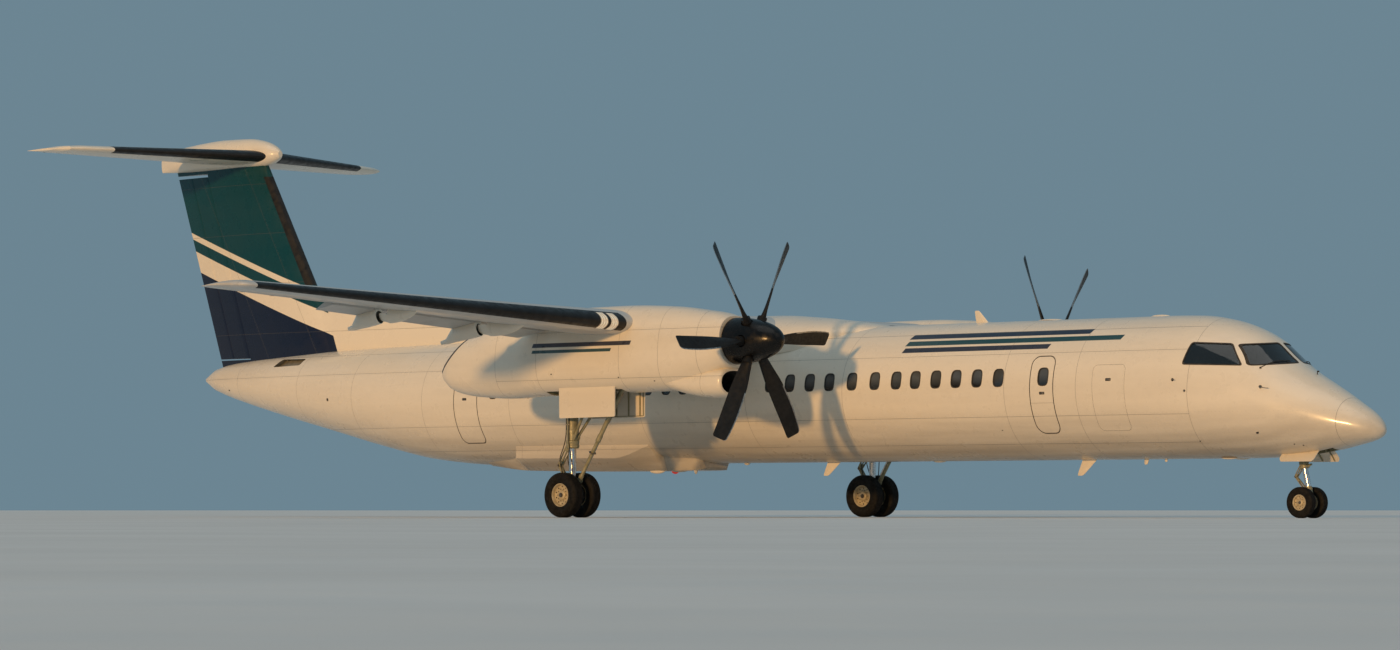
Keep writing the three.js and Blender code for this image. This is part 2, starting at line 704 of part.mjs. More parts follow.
// The white tip, drawn in and swept back towards its end.
function wingTip() {
  const rows = [
    [TIP_JOINT_Y, 0, 1, 1],
    [14080, 25, 0.95, 0.85],
    [14170, 110, 0.86, 0.6],
    [WING_TIP_Y, 240, 0.72, 0.28],
  ];
  return loft(rows.map(([y, back, part, thin]) => {
    const station = wingStation(y);
    station.edge.x -= back;
    station.chord *= part;
    station.thickness *= thin;
    return foilRing(station);
  }));
}

// A flap in its stowed place: a round nose, the wing's own skins and the trailing edge.
function flapRing(y) {
  const station = wingStation(y);
  const gap = 22 / station.chord;
  const from = FLAP_NOSE_FRACTION + gap;
  const top = (f) => foilPoint(station, f, foilHalf(station.thickness, f));
  const low = (f) => foilPoint(station, f, -foilHalf(station.thickness, f));
  const middle = foilPoint(station, from, 0);
  return [top(from + 0.045), middle, low(from + 0.03), low(0.86), low(1), top(1), top(0.86)];
}

function flapPivot(y) {
  const station = wingStation(y);
  return foilPoint(station, FLAP_NOSE_FRACTION + 0.05, 0).add(new Vector3(0, 0, -FLAP_PIVOT_DROP));
}

function flapAxis(y0, y1) {
  return flapPivot(y1).sub(flapPivot(y0)).normalize();
}

// Turns a stowed flap about its pivot line to the angle at which it rests.
function deploy(solid, y0, y1) {
  const a = flapPivot(y0);
  const axis = flapAxis(y0, y1);
  const turn = new THREE.Matrix4().makeTranslation(a.x, a.y, a.z)
    .multiply(new THREE.Matrix4().makeRotationAxis(axis, -MathUtils.degToRad(FLAP_ANGLE)))
    .multiply(new THREE.Matrix4().makeTranslation(-a.x, -a.y, -a.z));
  return solid.transform(turn.elements);
}

// The fairing of a flap track: a cigar below the wing, split where the flap takes its tail along.
function trackFairing(y) {
  const station = wingStation(y);
  const { chord } = station;
  const at = (f, drop) => foilPoint(station, f, -foilHalf(station.thickness, f)).z - drop;
  const rows = [
    [0.30, 0, 20],
    [0.37, 90, 64],
    [0.48, 180, 94],
    [0.62, 240, 104],
    [0.80, 262, 102],
    [0.97, 255, 86],
    [1.10, 225, 56],
    [1.17, 190, 18],
  ];
  const ring = ([f, drop, half]) => {
    const x = station.edge.x - chord * f;
    const bottom = at(Math.min(f, 1), drop);
    const top = at(Math.min(f, 1), -60);
    return ovalRing([x, f > 1 ? at(1, 120) : top, bottom, half, (top + bottom) / 2], { y, count: 12 });
  };
  return rows.map(ring);
}

function fixedTrackFairing(y) {
  const split = FLAP_NOSE_FRACTION - 0.02;
  const station = wingStation(y);
  const cutX = station.edge.x - station.chord * split;
  return loft(trackFairing(y)).intersect(box(cutX, 4000, y - 300, y + 300, 2500, 4600));
}

function movingTrackFairing(y) {
  const split = FLAP_NOSE_FRACTION + 0.035;
  const station = wingStation(y);
  const cutX = station.edge.x - station.chord * split;
  return loft(trackFairing(y)).intersect(box(-2000, cutX, y - 300, y + 300, 2500, 4600));
}

// The curved rail on which a flap runs, or with a gap the slot for it in the fixed fairing.
function trackRail(y, axis, gap, lastAngle) {
  const pivot = flapPivot(y);
  const forward = new Vector3(1, 0, 0).projectOnPlane(axis).normalize();
  const up = new Vector3().crossVectors(forward, axis);
  const rings = [];
  for (let i = 0; i <= RAIL.steps; i += 1) {
    const angle = MathUtils.degToRad(MathUtils.lerp(RAIL.firstAngle, lastAngle, i / RAIL.steps));
    const ring = [[1, 1], [1, -1], [-1, -1], [-1, 1]].map(([side, lift]) => {
      const reach = RAIL.radius + lift * (RAIL.halfHeight + gap);
      return pivot.clone()
        .addScaledVector(forward, reach * Math.sin(angle))
        .addScaledVector(up, reach * Math.cos(angle))
        .addScaledVector(axis, side * (RAIL.halfWidth + gap));
    });
    rings.push(ring);
  }
  return loft(rings);
}

function flapSolid(name, y0, y1) {
  const body = loft([y0, y1].map(flapRing));
  const places = TRACK_FAIRINGS.filter(([owner]) => owner === name).map(([, y]) => y);
  const tails = places.map(movingTrackFairing);
  const rails = places.map((y) => trackRail(y, flapAxis(y0, y1), 0, RAIL.lastAngle));
  return deploy(join([body, ...tails, ...rails]), y0, y1);
}

function flapBay(y0, y1) {
  const ring = (y) => {
    const station = wingStation(y);
    const cut = foilPoint(station, FLAP_NOSE_FRACTION, 0);
    const aft = station.chord;
    const corner = (back, lift) => cut.clone().add(new Vector3(-back, 0, lift));
    return [corner(-40, -500), corner(40, 500), corner(aft, 500), corner(aft, -500)];
  };
  return loft([ring(y0), ring(y1)]);
}

// One half of the wing, with its bays cut, as an inner panel and an outer panel.
function wingPanels() {
  const [[, inner0, inner1], [, outer0, outer1]] = FLAP_SPANS;
  const innerBay = flapBay(inner0 - END_GAP, inner1 + END_GAP);
  const outerBay = flapBay(outer0 - END_GAP, outer1 + FLAP_OUTER_GAP);
  const [aileron0, aileron1] = AILERON_SPAN;
  const cove = loft([aileron0 - END_GAP, aileron1 + END_GAP]
    .map((y) => coveRing(wingStation(y), AILERON_HINGE_FRACTION)));
  const inner = wingBetween(0, PANEL_JOINT_Y).subtract(innerBay);
  const outer = wingBetween(PANEL_JOINT_Y, TIP_JOINT_Y).add(wingTip()).subtract(outerBay).subtract(cove);
  const withFairings = (panel, [name, y0, y1]) => {
    const places = TRACK_FAIRINGS.filter(([owner]) => owner === name).map(([, y]) => y);
    const slots = places.map((y) => trackRail(y, flapAxis(y0, y1), RAIL.gap, RAIL.lastAngle + 2));
    return join([panel, ...places.map(fixedTrackFairing)]).subtract(join(slots));
  };
  const tongues = hingeTongues(wingStation, () => AILERON_HINGE_FRACTION, AILERON_SPAN, AILERON_HINGES);
  return {
    inner: withFairings(inner, FLAP_SPANS[0]),
    outer: withFairings(outer, FLAP_SPANS[1]).add(tongues),
  };
}

function buildWing() {
  const { inner, outer } = wingPanels();
  add('wing_centre', 'white', inner.add(inner.mirror([0, 1, 0])).subtract(sparCut(0)));
  const aileron = loft(AILERON_SPAN.map((y) => surfaceRing(wingStation(y), AILERON_HINGE_FRACTION)));
  for (const [name, sign] of SIDES) {
    add(`wing_outer_${name}`, 'white', mirrored(outer, sign));
    add(`aileron_${name}`, 'white', mirrored(aileron, sign));
    for (const [flap, y0, y1] of FLAP_SPANS) {
      add(`flap_${flap}_${name}`, 'grey', mirrored(flapSolid(flap, y0, y1), sign));
    }
  }
}

// Nacelles

function nacelleOuter(grow = 0) {
  const options = { inset: -grow, power: NACELLE_POWER, y: NACELLE_Y, count: NACELLE_RING_POINTS };
  const body = ovalBody(NACELLE_SECTIONS, 5060, -2390, options);
  const chin = ovalBody(INTAKE_SECTIONS, 5010, 3500, options);
  const slant = [EXHAUST_TOP, EXHAUST_BOTTOM].map(({ x, z }) => [x, z]);
  const run = [slant[1][0] - slant[0][0], slant[1][1] - slant[0][1]];
  const above = [slant[0][0] - run[0], slant[0][1] - run[1]];
  const below = [slant[1][0] + run[0], slant[1][1] + run[1]];
  const cut = prism([above, below, [below[0] - 2000, below[1]], [above[0] - 2000, above[1] + 500]], seenAlongY, 3000, 6000);
  return body.add(chin).subtract(cut);
}

// A straight oval hole along X.
function ovalBore({ halfWidth, halfHeight, z, innerX }, outerX) {
  const rows = [outerX, innerX].map((x) => [x, z + halfHeight, z - halfHeight, halfWidth, z]);
  return loft(rows.map((row) => ovalRing(row, { y: NACELLE_Y, count: 16 })));
}

function nacelle(seat) {
  const wall = 26;
  const inside = { inset: wall, power: NACELLE_POWER, y: NACELLE_Y, count: 16 };
  const bay = ovalBody(NACELLE_SECTIONS, 4980, ENGINE.rearX - SEAT_GAP, inside);
  const noseHole = rod([4900, NACELLE_Y, PROP_Z], [5100, NACELLE_Y, PROP_Z], ENGINE.noseRadius + 30, 16);
  const wheelBay = box(
    MAIN_BAY.rearX, MAIN_BAY.frontX,
    NACELLE_Y - MAIN_BAY.halfWidth, NACELLE_Y + MAIN_BAY.halfWidth, 2000, MAIN_BAY.topZ,
  );
  const cuts = [bay, noseHole, wheelBay, ovalBore(INTAKE_BORE, 5100), ovalBore(EXHAUST_BORE, -2500), seat];
  return cuts.reduce((solid, cut) => solid.subtract(cut), nacelleOuter());
}

function engine() {
  const half = ENGINE.width / 2;
  const block = box(ENGINE.rearX, ENGINE.frontX, NACELLE_Y - half, NACELLE_Y + half, ENGINE.bottomZ, ENGINE.topZ);
  const nose = rod([ENGINE.frontX - 20, NACELLE_Y, PROP_Z], [SPINNER_BACK_X - SEAT_GAP, NACELLE_Y, PROP_Z], ENGINE.noseRadius, 16);
  return block.add(nose);
}

function bladeRing([radius, chord, thickness, pitch, sweep]) {
  const ring = [];
  const outline = [[0.5, 0], [0.2, 0.5], [-0.25, 0.38], [-0.5, 0], [-0.25, -0.38], [0.2, -0.5]];
  const angle = MathUtils.degToRad(pitch);
  for (const [u, v] of outline) {
    const along = u * chord + sweep;
    const across = v * thickness;
    ring.push(new Vector3(
      along * Math.sin(angle) - across * Math.cos(angle),
      -along * Math.cos(angle) - across * Math.sin(angle),
      radius,
    ));
  }
  return ring;
}

// Hub and six blades in one piece, made about the origin.
function propellerBlades() {
  const blade = loft(BLADE_SECTIONS.map(bladeRing)).add(rod([0, 0, 120], [0, 0, 470], 92, 8));
  const hub = rod([SPINNER_BACK_X + 30 + SEAT_GAP - PROP_X, 0, 0], [260, 0, 0], 205, 12);
  const blades = [];
  for (let i = 0; i < BLADE_COUNT; i += 1) {
    blades.push(blade.rotate([(i * 360) / BLADE_COUNT, 0, 0]));
  }
  return join([hub, ...blades]);
}

// The hollow spinner with its back plate and a hole for each blade's root.
function spinner() {
  const profile = (radius, length, steps) => {
    const line = [[0, 0], [radius, 0]];
    for (let i = 1; i <= steps; i += 1) {
      const angle = (Math.PI / 2) * (i / steps);
      line.push([i === steps ? 0 : radius * Math.cos(angle) ** 0.92, length * Math.sin(angle)]);
    }
    return line;
  };
  const bodyOf = (radius, length, back, steps) => {
    const geometry = new THREE.LatheGeometry(profile(radius, length, steps).map(([r, h]) => new THREE.Vector2(r, h)), 18);
    geometry.rotateZ(-Math.PI / 2);
    geometry.translate(back, 0, 0);
    return toSolid(geometry);
  };
  const length = SPINNER_TIP_X - SPINNER_BACK_X;
  const back = SPINNER_BACK_X - PROP_X;
  const shell = bodyOf(SPINNER_RADIUS, length, back, 6)
    .subtract(bodyOf(SPINNER_RADIUS - 26, length - 90, back + 30, 4));
  const holes = [];
  for (let i = 0; i < BLADE_COUNT; i += 1) {
    holes.push(rod([0, 0, 300], [0, 0, 560], 112, 8).rotate([(i * 360) / BLADE_COUNT, 0, 0]));
  }
  return shell.subtract(join(holes));
}

function buildPowerplants(seat) {
  const fixed = [
    ['nacelle', 'white', nacelle(seat)],
    ['engine', 'steel', engine()],
  ];
  // Both propellers turn the same way, so they are alike and not mirrored.
  const turning = [
    ['spinner', 'boot', spinner()],
    ['propeller', 'blade', propellerBlades()],
  ];
  for (const [name, sign] of SIDES) {
    for (const [part, finish, solid] of fixed) {
      add(`${part}_${name}`, finish, mirrored(solid, sign));
    }
    for (const [part, finish, solid] of turning) {
      add(`${part}_${name}`, finish, solid.rotate([PROP_PHASE[name], 0, 0]).translate([PROP_X, sign * NACELLE_Y, PROP_Z]));
    }
  }
}

// Wheels

// The axle's height on wheels that stand on a flat facet.
function axleHeight({ radius, segments }) {
  return radius * Math.cos(Math.PI / segments);
}

function axleBore(size, x, halfLength) {
  const radius = size.axleRadius + AXLE_GAP;
  const profile = [[0, -halfLength], [radius, -halfLength], [radius, halfLength], [0, halfLength]];
  return turnedAboutY(profile, x, 0, axleHeight(size), size.segments);
}

function tyreProfile({ radius, width, rimRadius }) {
  const half = width / 2;
  const bead = rimRadius + SEAT_GAP;
  return [
    [bead, -half * 0.76],
    [radius * 0.78, -half],
    [radius * 0.94, -half * 0.88],
    [radius, -half * 0.5],
    [radius, half * 0.5],
    [radius * 0.94, half * 0.88],
    [radius * 0.78, half],
    [bead, half * 0.76],
    [bead, -half * 0.76],
  ];
}

// Two rims and the axle that they share.
function rimProfile({ width, rimRadius, spacing, axleRadius }) {
  const middle = spacing / 2;
  const half = width * 0.38;
  const boss = axleRadius * 1.7;
  const outside = [
    [0, middle + half * 1.05],
    [boss, middle + half * 1.05],
    [boss, middle + half * 0.55],
    [rimRadius * 0.82, middle + half * 0.5],
    [rimRadius, middle + half],
    [rimRadius, middle - half],
    [rimRadius * 0.82, middle - half * 0.2],
    [boss, middle - half * 0.3],
    [axleRadius, middle - half * 0.9],
  ];
  const mirror = outside.map(([r, y]) => [r, -y]).reverse();
  return [...outside, ...mirror];
}

function addWheels(name, size, x, y) {
  const z = axleHeight(size);
  const half = size.spacing / 2;
  add(`${name}_wheels`, 'rim', turnedAboutY(rimProfile(size), x, y, z, size.segments));
  for (const [side, sign] of SIDES) {
    add(`${name}_tyre_${side}`, 'rubber', turnedAboutY(tyreProfile(size), x, y + sign * half, z, size.segments));
  }
}

// Main landing gear

function link(from, to, width, halfThickness) {
  const run = new THREE.Vector2(to[0] - from[0], to[1] - from[1]).normalize();
  const [u, v] = [(-run.y * width) / 2, (run.x * width) / 2];
  const outline = [
    [from[0] + u, from[1] + v],
    [to[0] + u, to[1] + v],
    [to[0] - u, to[1] - v],
    [from[0] - u, from[1] - v],
  ];
  return prism(outline, seenAlongY, -halfThickness, halfThickness);
}

function crossPin(x, z, radius, halfLength, segments = 10) {
  return rod([x, -halfLength, z], [x, halfLength, z], radius, segments);
}

// Cylinder, piston, torque links, drag brace and side brace of one main leg, about y = 0.
function mainLeg() {
  const x = MAIN_AXLE_X;
  const z = axleHeight(MAIN_TYRE);
  const reach = MAIN_BAY.halfWidth - SEAT_GAP;
  const [braceX, braceZ] = MAIN_BRACE.bottom;
  const [topX, topZ] = MAIN_BRACE.top;
  const pieces = [
    rod([x, 0, MAIN_PIVOT_Z + 60], [x, 0, 1420], 112),
    rod([x, 0, 1440], [x, 0, 1320], 128),
    rod([x, 0, 1340], [x, 0, z + 20], 70),
    crossPin(x, MAIN_PIVOT_Z, 62, reach),
    crossPin(x, z, 92, 105, 16),
    rod([x, 0, z + 250], [x, 0, z + 40], 92, 10, 84),
    box(x - JACK_PAD.half, x + JACK_PAD.half, -JACK_PAD.half, JACK_PAD.half, z - JACK_PAD.depth, z),
    link([x - 90, 1350], [x - 330, 1000], 70, 46),
    link([x - 330, 1000], [x - 60, 560], 70, 46),
    crossPin(x - 330, 1000, 38, 62),
    link([x, 640], [braceX, braceZ], 90, 40),
    crossPin(braceX, braceZ, 56, 62),
    rod([braceX, 0, braceZ], [topX, 0, topZ], MAIN_BRACE.radius),
    crossPin(topX, topZ, 50, reach),
    rod([x + 60, 0, 1480], [x + 720, 0, 2420], 34, 12),
    crossPin(x + 720, 2420, 40, reach),
  ];
  return join(pieces).subtract(axleBore(MAIN_TYRE, x, 300));
}

function mainDoors(skin) {
  const { rearX, frontX, y, bottomZ, thickness } = MAIN_DOOR;
  const slab = (offset) => box(rearX, frontX, NACELLE_Y + offset - thickness / 2, NACELLE_Y + offset + thickness / 2, bottomZ, 2700);
  return { inner: slab(-y).subtract(skin), outer: slab(y).subtract(skin) };
}

function buildMainGear() {
  const leg = mainLeg().translate([0, NACELLE_Y, 0]);
  const doors = mainDoors(nacelleOuter(SEAT_GAP));
  for (const [name, sign] of SIDES) {
    add(`main_leg_${name}`, 'gearMetal', mirrored(leg, sign));
    add(`main_door_inner_${name}`, 'white', mirrored(doors.inner, sign));
    add(`main_door_outer_${name}`, 'white', mirrored(doors.outer, sign));
    addWheels(`main_${name}`, MAIN_TYRE, MAIN_AXLE_X, sign * NACELLE_Y);
  }
}

// Nose landing gear

// A point on the raked steering axis at a height above the ground.
function onNoseAxis(z) {
  const run = (z - axleHeight(NOSE_TYRE)) * Math.tan(MathUtils.degToRad(NOSE_RAKE));
  return [NOSE_AXLE_X + NOSE_TRAIL - run, 0, z];
}

function noseStrut() {
  const reach = NOSE_BAY.halfWidth - SEAT_GAP;
  const pivot = onNoseAxis(NOSE_PIVOT_Z);
  const foot = onNoseAxis(NOSE_SPLIT_Z);
  const pieces = [
    rod(onNoseAxis(NOSE_PIVOT_Z + 40), foot, 74),
    crossPin(pivot[0], pivot[2], 44, reach),
    rod(onNoseAxis(NOSE_SPLIT_Z + 60), [NOSE_BRACE_TOP.x, 0, NOSE_BRACE_TOP.z], 30, 12),
    crossPin(NOSE_BRACE_TOP.x, NOSE_BRACE_TOP.z, 34, reach),
  ];
  const lampX = foot[0] + 40;
  for (const y of [-LAMP.y, LAMP.y]) {
    pieces.push(rod([lampX, y, LAMP.z], [lampX + LAMP.depth, y, LAMP.z], LAMP.radius * 0.7, 12, LAMP.radius));
    pieces.push(rod([lampX + 20, 0, LAMP.z], [lampX + 20, y, LAMP.z], 18, 10));
  }
  return join(pieces);
}

function noseFork() {
  const top = onNoseAxis(NOSE_SPLIT_Z - SEAT_GAP);
  const collar = onNoseAxis(NOSE_SPLIT_Z - 130);
  const x = NOSE_AXLE_X;
  const z = axleHeight(NOSE_TYRE);
  const foot = onNoseAxis(z + 60);
  const pieces = [
    rod(top, collar, 88),
    rod(onNoseAxis(NOSE_SPLIT_Z - 120), foot, 52),
    rod(foot, [x, 0, z], 58, 10, 52),
    crossPin(x, z, 62, 72, 14),
    link([collar[0] - 60, collar[2] + 50], [collar[0] - 190, collar[2] - 150], 46, 34),
    link([collar[0] - 190, collar[2] - 150], [foot[0] - 40, foot[2] + 60], 46, 34),
  ];
  return join(pieces).subtract(axleBore(NOSE_TYRE, x, 200));
}

function noseDoor(side) {
  const { rearX, frontX, upper, lower, thickness } = NOSE_DOOR;
  const outline = [upper, lower, [lower[0] + thickness, lower[1] + thickness], [upper[0] + thickness, upper[1] + thickness]];
  return mirrored(prism(outline, seenAlongX, rearX, frontX), side).subtract(fuselageBody(15700, 14100, -SEAT_GAP));
}

function buildNoseGear() {
  add('nose_gear_strut', 'gearMetal', noseStrut());
  add('nose_gear_fork', 'gearMetal', noseFork());
  addWheels('nose', NOSE_TYRE, NOSE_AXLE_X, 0);
  for (const [name, sign] of SIDES) {
    add(`nose_door_${name}`, 'white', noseDoor(sign));
  }
}

// Tail

function finStation(z) {
  const t = (z - FIN_FOOT.z) / (FIN_HEAD.z - FIN_FOOT.z);
  const leX = MathUtils.lerp(FIN_FOOT.leX, FIN_HEAD.leX, t);
  const teX = MathUtils.lerp(FIN_FOOT.teX, FIN_HEAD.teX, t);
  const thickness = MathUtils.lerp(FIN_FOOT.thickness, FIN_HEAD.thickness, t);
  return { edge: new Vector3(leX, 0, z), chord: leX - teX, up: new Vector3(0, 1, 0), camber: 0, thickness };
}

function rudderFraction(z, chordAft) {
  const station = finStation(z);
  return 1 - chordAft / station.chord;
}

function finSolid(bullet) {
  const blade = loft([FIN_FOOT.z, FIN_HEAD.z].map((z) => foilRing(finStation(z))));
  const dorsal = loft(DORSAL_SECTIONS.map((row) => ovalRing(row, { power: 1.6, count: 16 })));
  const cove = loft([RUDDER_SPAN[0] - RUDDER_FOOT_GAP, RUDDER_SPAN[1] + RUDDER_HEAD_GAP]
    .map((z) => coveRing(finStation(z), rudderFraction(z, FORE_RUDDER_CHORD))));
  const fuselage = fuselageBody(AFT_JOINT_X + 200, TAIL_END_X, -SEAT_GAP);
  const tongues = hingeTongues(finStation, (z) => rudderFraction(z, FORE_RUDDER_CHORD), RUDDER_SPAN, RUDDER_HINGES);
  return blade.add(dorsal).subtract(cove).subtract(fuselage).subtract(bullet).add(tongues);
}

function rudderParts() {
  const rows = RUDDER_SPAN;
  const whole = loft(rows.map((z) => surfaceRing(finStation(z), rudderFraction(z, FORE_RUDDER_CHORD))));
  const cove = loft([rows[0] - 50, rows[1] + 50]
    .map((z) => coveRing(finStation(z), rudderFraction(z, TRAILING_RUDDER_CHORD))));
  const trailing = loft(rows.map((z) => surfaceRing(finStation(z), rudderFraction(z, TRAILING_RUDDER_CHORD))));
  const tongues = hingeTongues(finStation, (z) => rudderFraction(z, TRAILING_RUDDER_CHORD), RUDDER_SPAN, RUDDER_HINGES);
  return { fore: whole.subtract(cove).add(tongues), trailing };
}

function tailStation(y) {
  const [, leX, teX, thickness] = interpolateSpan(TAILPLANE_STATIONS, Math.abs(y));
  return {
    edge: new Vector3(leX, y, TAIL_CHORD_Z), chord: leX - teX, up: new Vector3(0, 0, 1), camber: 0, thickness,
  };
}

function interpolateSpan(table, y) {
  const next = Math.max(1, table.findIndex((row) => row[0] >= y));
  const [before, after] = [table[next - 1], table[next]];
  const t = (y - before[0]) / (after[0] - before[0]);
  return before.map((value, i) => MathUtils.lerp(value, after[i], t));
}

function elevatorFraction(y) {
  const station = tailStation(y);
  return (station.edge.x - ELEVATOR_HINGE_X) / station.chord;
}

function buildTail() {
  const spans = TAILPLANE_STATIONS.map(([y]) => y);
  const rows = [...spans.slice(1).reverse().map((y) => -y), ...spans];
  const plane = loft(rows.map((y) => foilRing(tailStation(y))));
  const cove = loft([ELEVATOR_SPAN[0] - END_GAP, ELEVATOR_SPAN[1] + END_GAP]
    .map((y) => coveRing(tailStation(y), elevatorFraction(y))));
  const bullet = ovalBody(BULLET_SECTIONS, BULLET_SECTIONS[0][0], -16415, { count: 20 });
  const bulletSeat = ovalBody(BULLET_SECTIONS, BULLET_SECTIONS[0][0] + 1, -16416, { inset: -SEAT_GAP, count: 20 });
  add('fin', 'teal', finSolid(bulletSeat));
  const { fore, trailing } = rudderParts();
  add('rudder_fore', 'teal', fore);
  add('rudder_trailing', 'teal', trailing);
  const tongues = hingeTongues(tailStation, elevatorFraction, ELEVATOR_SPAN, ELEVATOR_HINGES);
  const fixed = [bullet, tongues, tongues.mirror([0, 1, 0])];
  add('tailplane', 'white', join([plane.subtract(cove).subtract(cove.mirror([0, 1, 0])), ...fixed]));
  const elevator = loft(ELEVATOR_SPAN.map((y) => surfaceRing(tailStation(y), elevatorFraction(y))));
  for (const [name, sign] of SIDES) {
    add(`elevator_${name}`, 'white', mirrored(elevator, sign));
  }
}

const seat = wingSeat();
buildFuselage(seat);
buildWing();
buildPowerplants(seat);
buildMainGear();
buildNoseGear();
buildTail();

export default aircraft;
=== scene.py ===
import math

import bpy
import numpy as np
from mathutils import Matrix, Vector


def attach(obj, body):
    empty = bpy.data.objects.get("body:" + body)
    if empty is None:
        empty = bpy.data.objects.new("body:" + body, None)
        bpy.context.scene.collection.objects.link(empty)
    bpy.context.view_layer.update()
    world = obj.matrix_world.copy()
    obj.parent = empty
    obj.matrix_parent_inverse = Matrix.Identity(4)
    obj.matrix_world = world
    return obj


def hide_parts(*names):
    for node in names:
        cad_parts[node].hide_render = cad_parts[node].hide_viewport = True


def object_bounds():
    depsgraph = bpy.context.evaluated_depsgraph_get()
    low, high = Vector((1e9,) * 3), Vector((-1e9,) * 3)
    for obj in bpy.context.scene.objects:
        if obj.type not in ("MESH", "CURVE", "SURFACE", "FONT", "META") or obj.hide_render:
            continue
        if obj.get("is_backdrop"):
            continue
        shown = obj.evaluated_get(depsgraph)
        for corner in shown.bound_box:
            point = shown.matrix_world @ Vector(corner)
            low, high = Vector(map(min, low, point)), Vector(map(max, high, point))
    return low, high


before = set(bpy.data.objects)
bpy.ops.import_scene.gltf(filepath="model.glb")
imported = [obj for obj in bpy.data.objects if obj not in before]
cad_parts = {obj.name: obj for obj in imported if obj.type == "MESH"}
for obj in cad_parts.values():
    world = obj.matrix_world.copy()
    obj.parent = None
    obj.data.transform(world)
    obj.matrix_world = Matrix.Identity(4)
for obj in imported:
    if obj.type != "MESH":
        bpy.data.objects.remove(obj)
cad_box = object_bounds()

RIGHT, LEFT = -1, 1
SIDES = (("right", RIGHT), ("left", LEFT))


# Solids: vertices, faces and a material number for each face

class Solid:
    """A closed mesh that can be moved, mirrored, painted and added to others."""

    def __init__(self, verts=(), faces=(), mats=None):
        self.v = [Vector(p) for p in verts]
        self.f = [list(face) for face in faces]
        self.m = list(mats) if mats is not None else [0] * len(self.f)

    def __add__(self, other):
        return joined((self, other))

    def moved(self, matrix):
        flip = matrix.to_3x3().determinant() < 0
        return Solid([matrix @ p for p in self.v], [face[::-1] if flip else face for face in self.f], self.m)

    def turned(self, degrees, axis, about=(0, 0, 0)):
        place = Matrix.Translation(about)
        return self.moved(place @ Matrix.Rotation(math.radians(degrees), 4, Vector(axis)) @ place.inverted())

    def mirrored(self, side=RIGHT):
        return self if side == LEFT else self.moved(Matrix.Scale(-1, 4, (0, 1, 0)))

    def painted(self, mat):
        return Solid(self.v, self.f, [mat] * len(self.f))

    def outward(self):
        v = self.v
        if sum(v[f[0]].dot(v[f[i]].cross(v[f[i + 1]])) for f in self.f for i in range(1, len(f) - 1)) < 0:
            self.f = [face[::-1] for face in self.f]
        return self


def loft(rings, mat=0, mats=None, loop=False):
    """A skin through rings of equally many points; mats(row, i) may choose a face's material, loop joins the ends."""
    n = len(rings[0])
    verts = [p for ring in rings for p in ring]
    faces, numbers = [], []
    for r in range(len(rings) if loop else len(rings) - 1):
        a, b = r * n, (r + 1) % len(rings) * n
        for i in range(n):
            j = (i + 1) % n
            faces.append([a + i, a + j, b + j, b + i])
            numbers.append(mats(r, i) if mats else mat)
    if not loop:
        last = len(verts) - n
        faces += [list(range(n))[::-1], list(range(last, last + n))]
        numbers += [mats(0, 0) if mats else mat, mats(len(rings) - 2, 0) if mats else mat]
    return Solid(verts, faces, numbers).outward()


def joined(solids):
    whole = Solid()
    for solid in solids:
        n = len(whole.v)
        whole.v += solid.v
        whole.f += [[i + n for i in face] for face in solid.f]
        whole.m += solid.m
    return whole


def corners(x0, x1, z0, z1):
    return [(x0, z0), (x1, z0), (x1, z1), (x0, z1)]


def box(x0, x1, y0, y1, z0, z1, mat=0):
    return loft([[Vector((x, y, z)) for y, z in corners(y0, y1, z0, z1)] for x in (x0, x1)], mat)


def prism(outline, place, d0, d1, mat=0):
    return loft([[Vector(place(u, v, d)) for u, v in outline] for d in (d0, d1)], mat)


def along_x(y, z, x):
    return (x, y, z)


def along_y(x, z, y):
    return (x, y, z)


def angles(n):
    return [2 * math.pi * i / n for i in range(n)]


def round_ring(centre, u, w, radius, n):
    return [centre + (u * math.cos(t) + w * math.sin(t)) * radius for t in angles(n)]


def turned_profile(profile, centre, axis, n=48, mat=0, loop=False):
    """A body of revolution: profile holds (distance along the axis, radius); loop makes it a ring."""
    centre, axis = Vector(centre), Vector(axis).normalized()
    u = axis.orthogonal().normalized()
    w = axis.cross(u)
    return loft([round_ring(centre + axis * d, u, w, max(radius, 1e-4), n) for d, radius in profile], mat, loop=loop)


def rod(a, b, r, r2=None, n=24, mat=0, round_ends=0.0):
    a, b = Vector(a), Vector(b)
    r2 = r if r2 is None else r2
    length = (b - a).length
    e = min(round_ends, length / 3, r * 0.9, r2 * 0.9)
    stations = [(0, r - e), (e, r), (length - e, r2), (length, r2 - e)] if e else [(0, r), (length, r2)]
    return turned_profile(stations, a, b - a, n, mat)


def tube(path, r, n=10, mat=0):
    path = [Vector(p) for p in path]
    rings, u = [], None
    for i, p in enumerate(path):
        d = (path[min(i + 1, len(path) - 1)] - path[max(i - 1, 0)]).normalized()
        u = d.orthogonal().normalized() if u is None else (u - d * u.dot(d)).normalized()
        rings.append(round_ring(p, u, d.cross(u), r, n))
    return loft(rings, mat)


def curve(points, steps=6):
    """A smooth path through points."""
    pts = [Vector(p) for p in points]
    pts = [pts[0] * 2 - pts[1]] + pts + [pts[-1] * 2 - pts[-2]]
    path = []
    for i in range(1, len(pts) - 2):
        a, b, c, d = pts[i - 1:i + 3]
        slope, bow, twist = c - a, 2 * a - 5 * b + 4 * c - d, 3 * b - a - 3 * c + d
        path += [0.5 * (2 * b + slope * t + bow * t ** 2 + twist * t ** 3) for t in (k / steps for k in range(steps))]
    return path + [pts[-2]]


def bend(a, b, c, t):
    """A point of the arc from a to c that is pulled towards b."""
    return a * (1 - t) ** 2 + b * 2 * t * (1 - t) + c * t ** 2


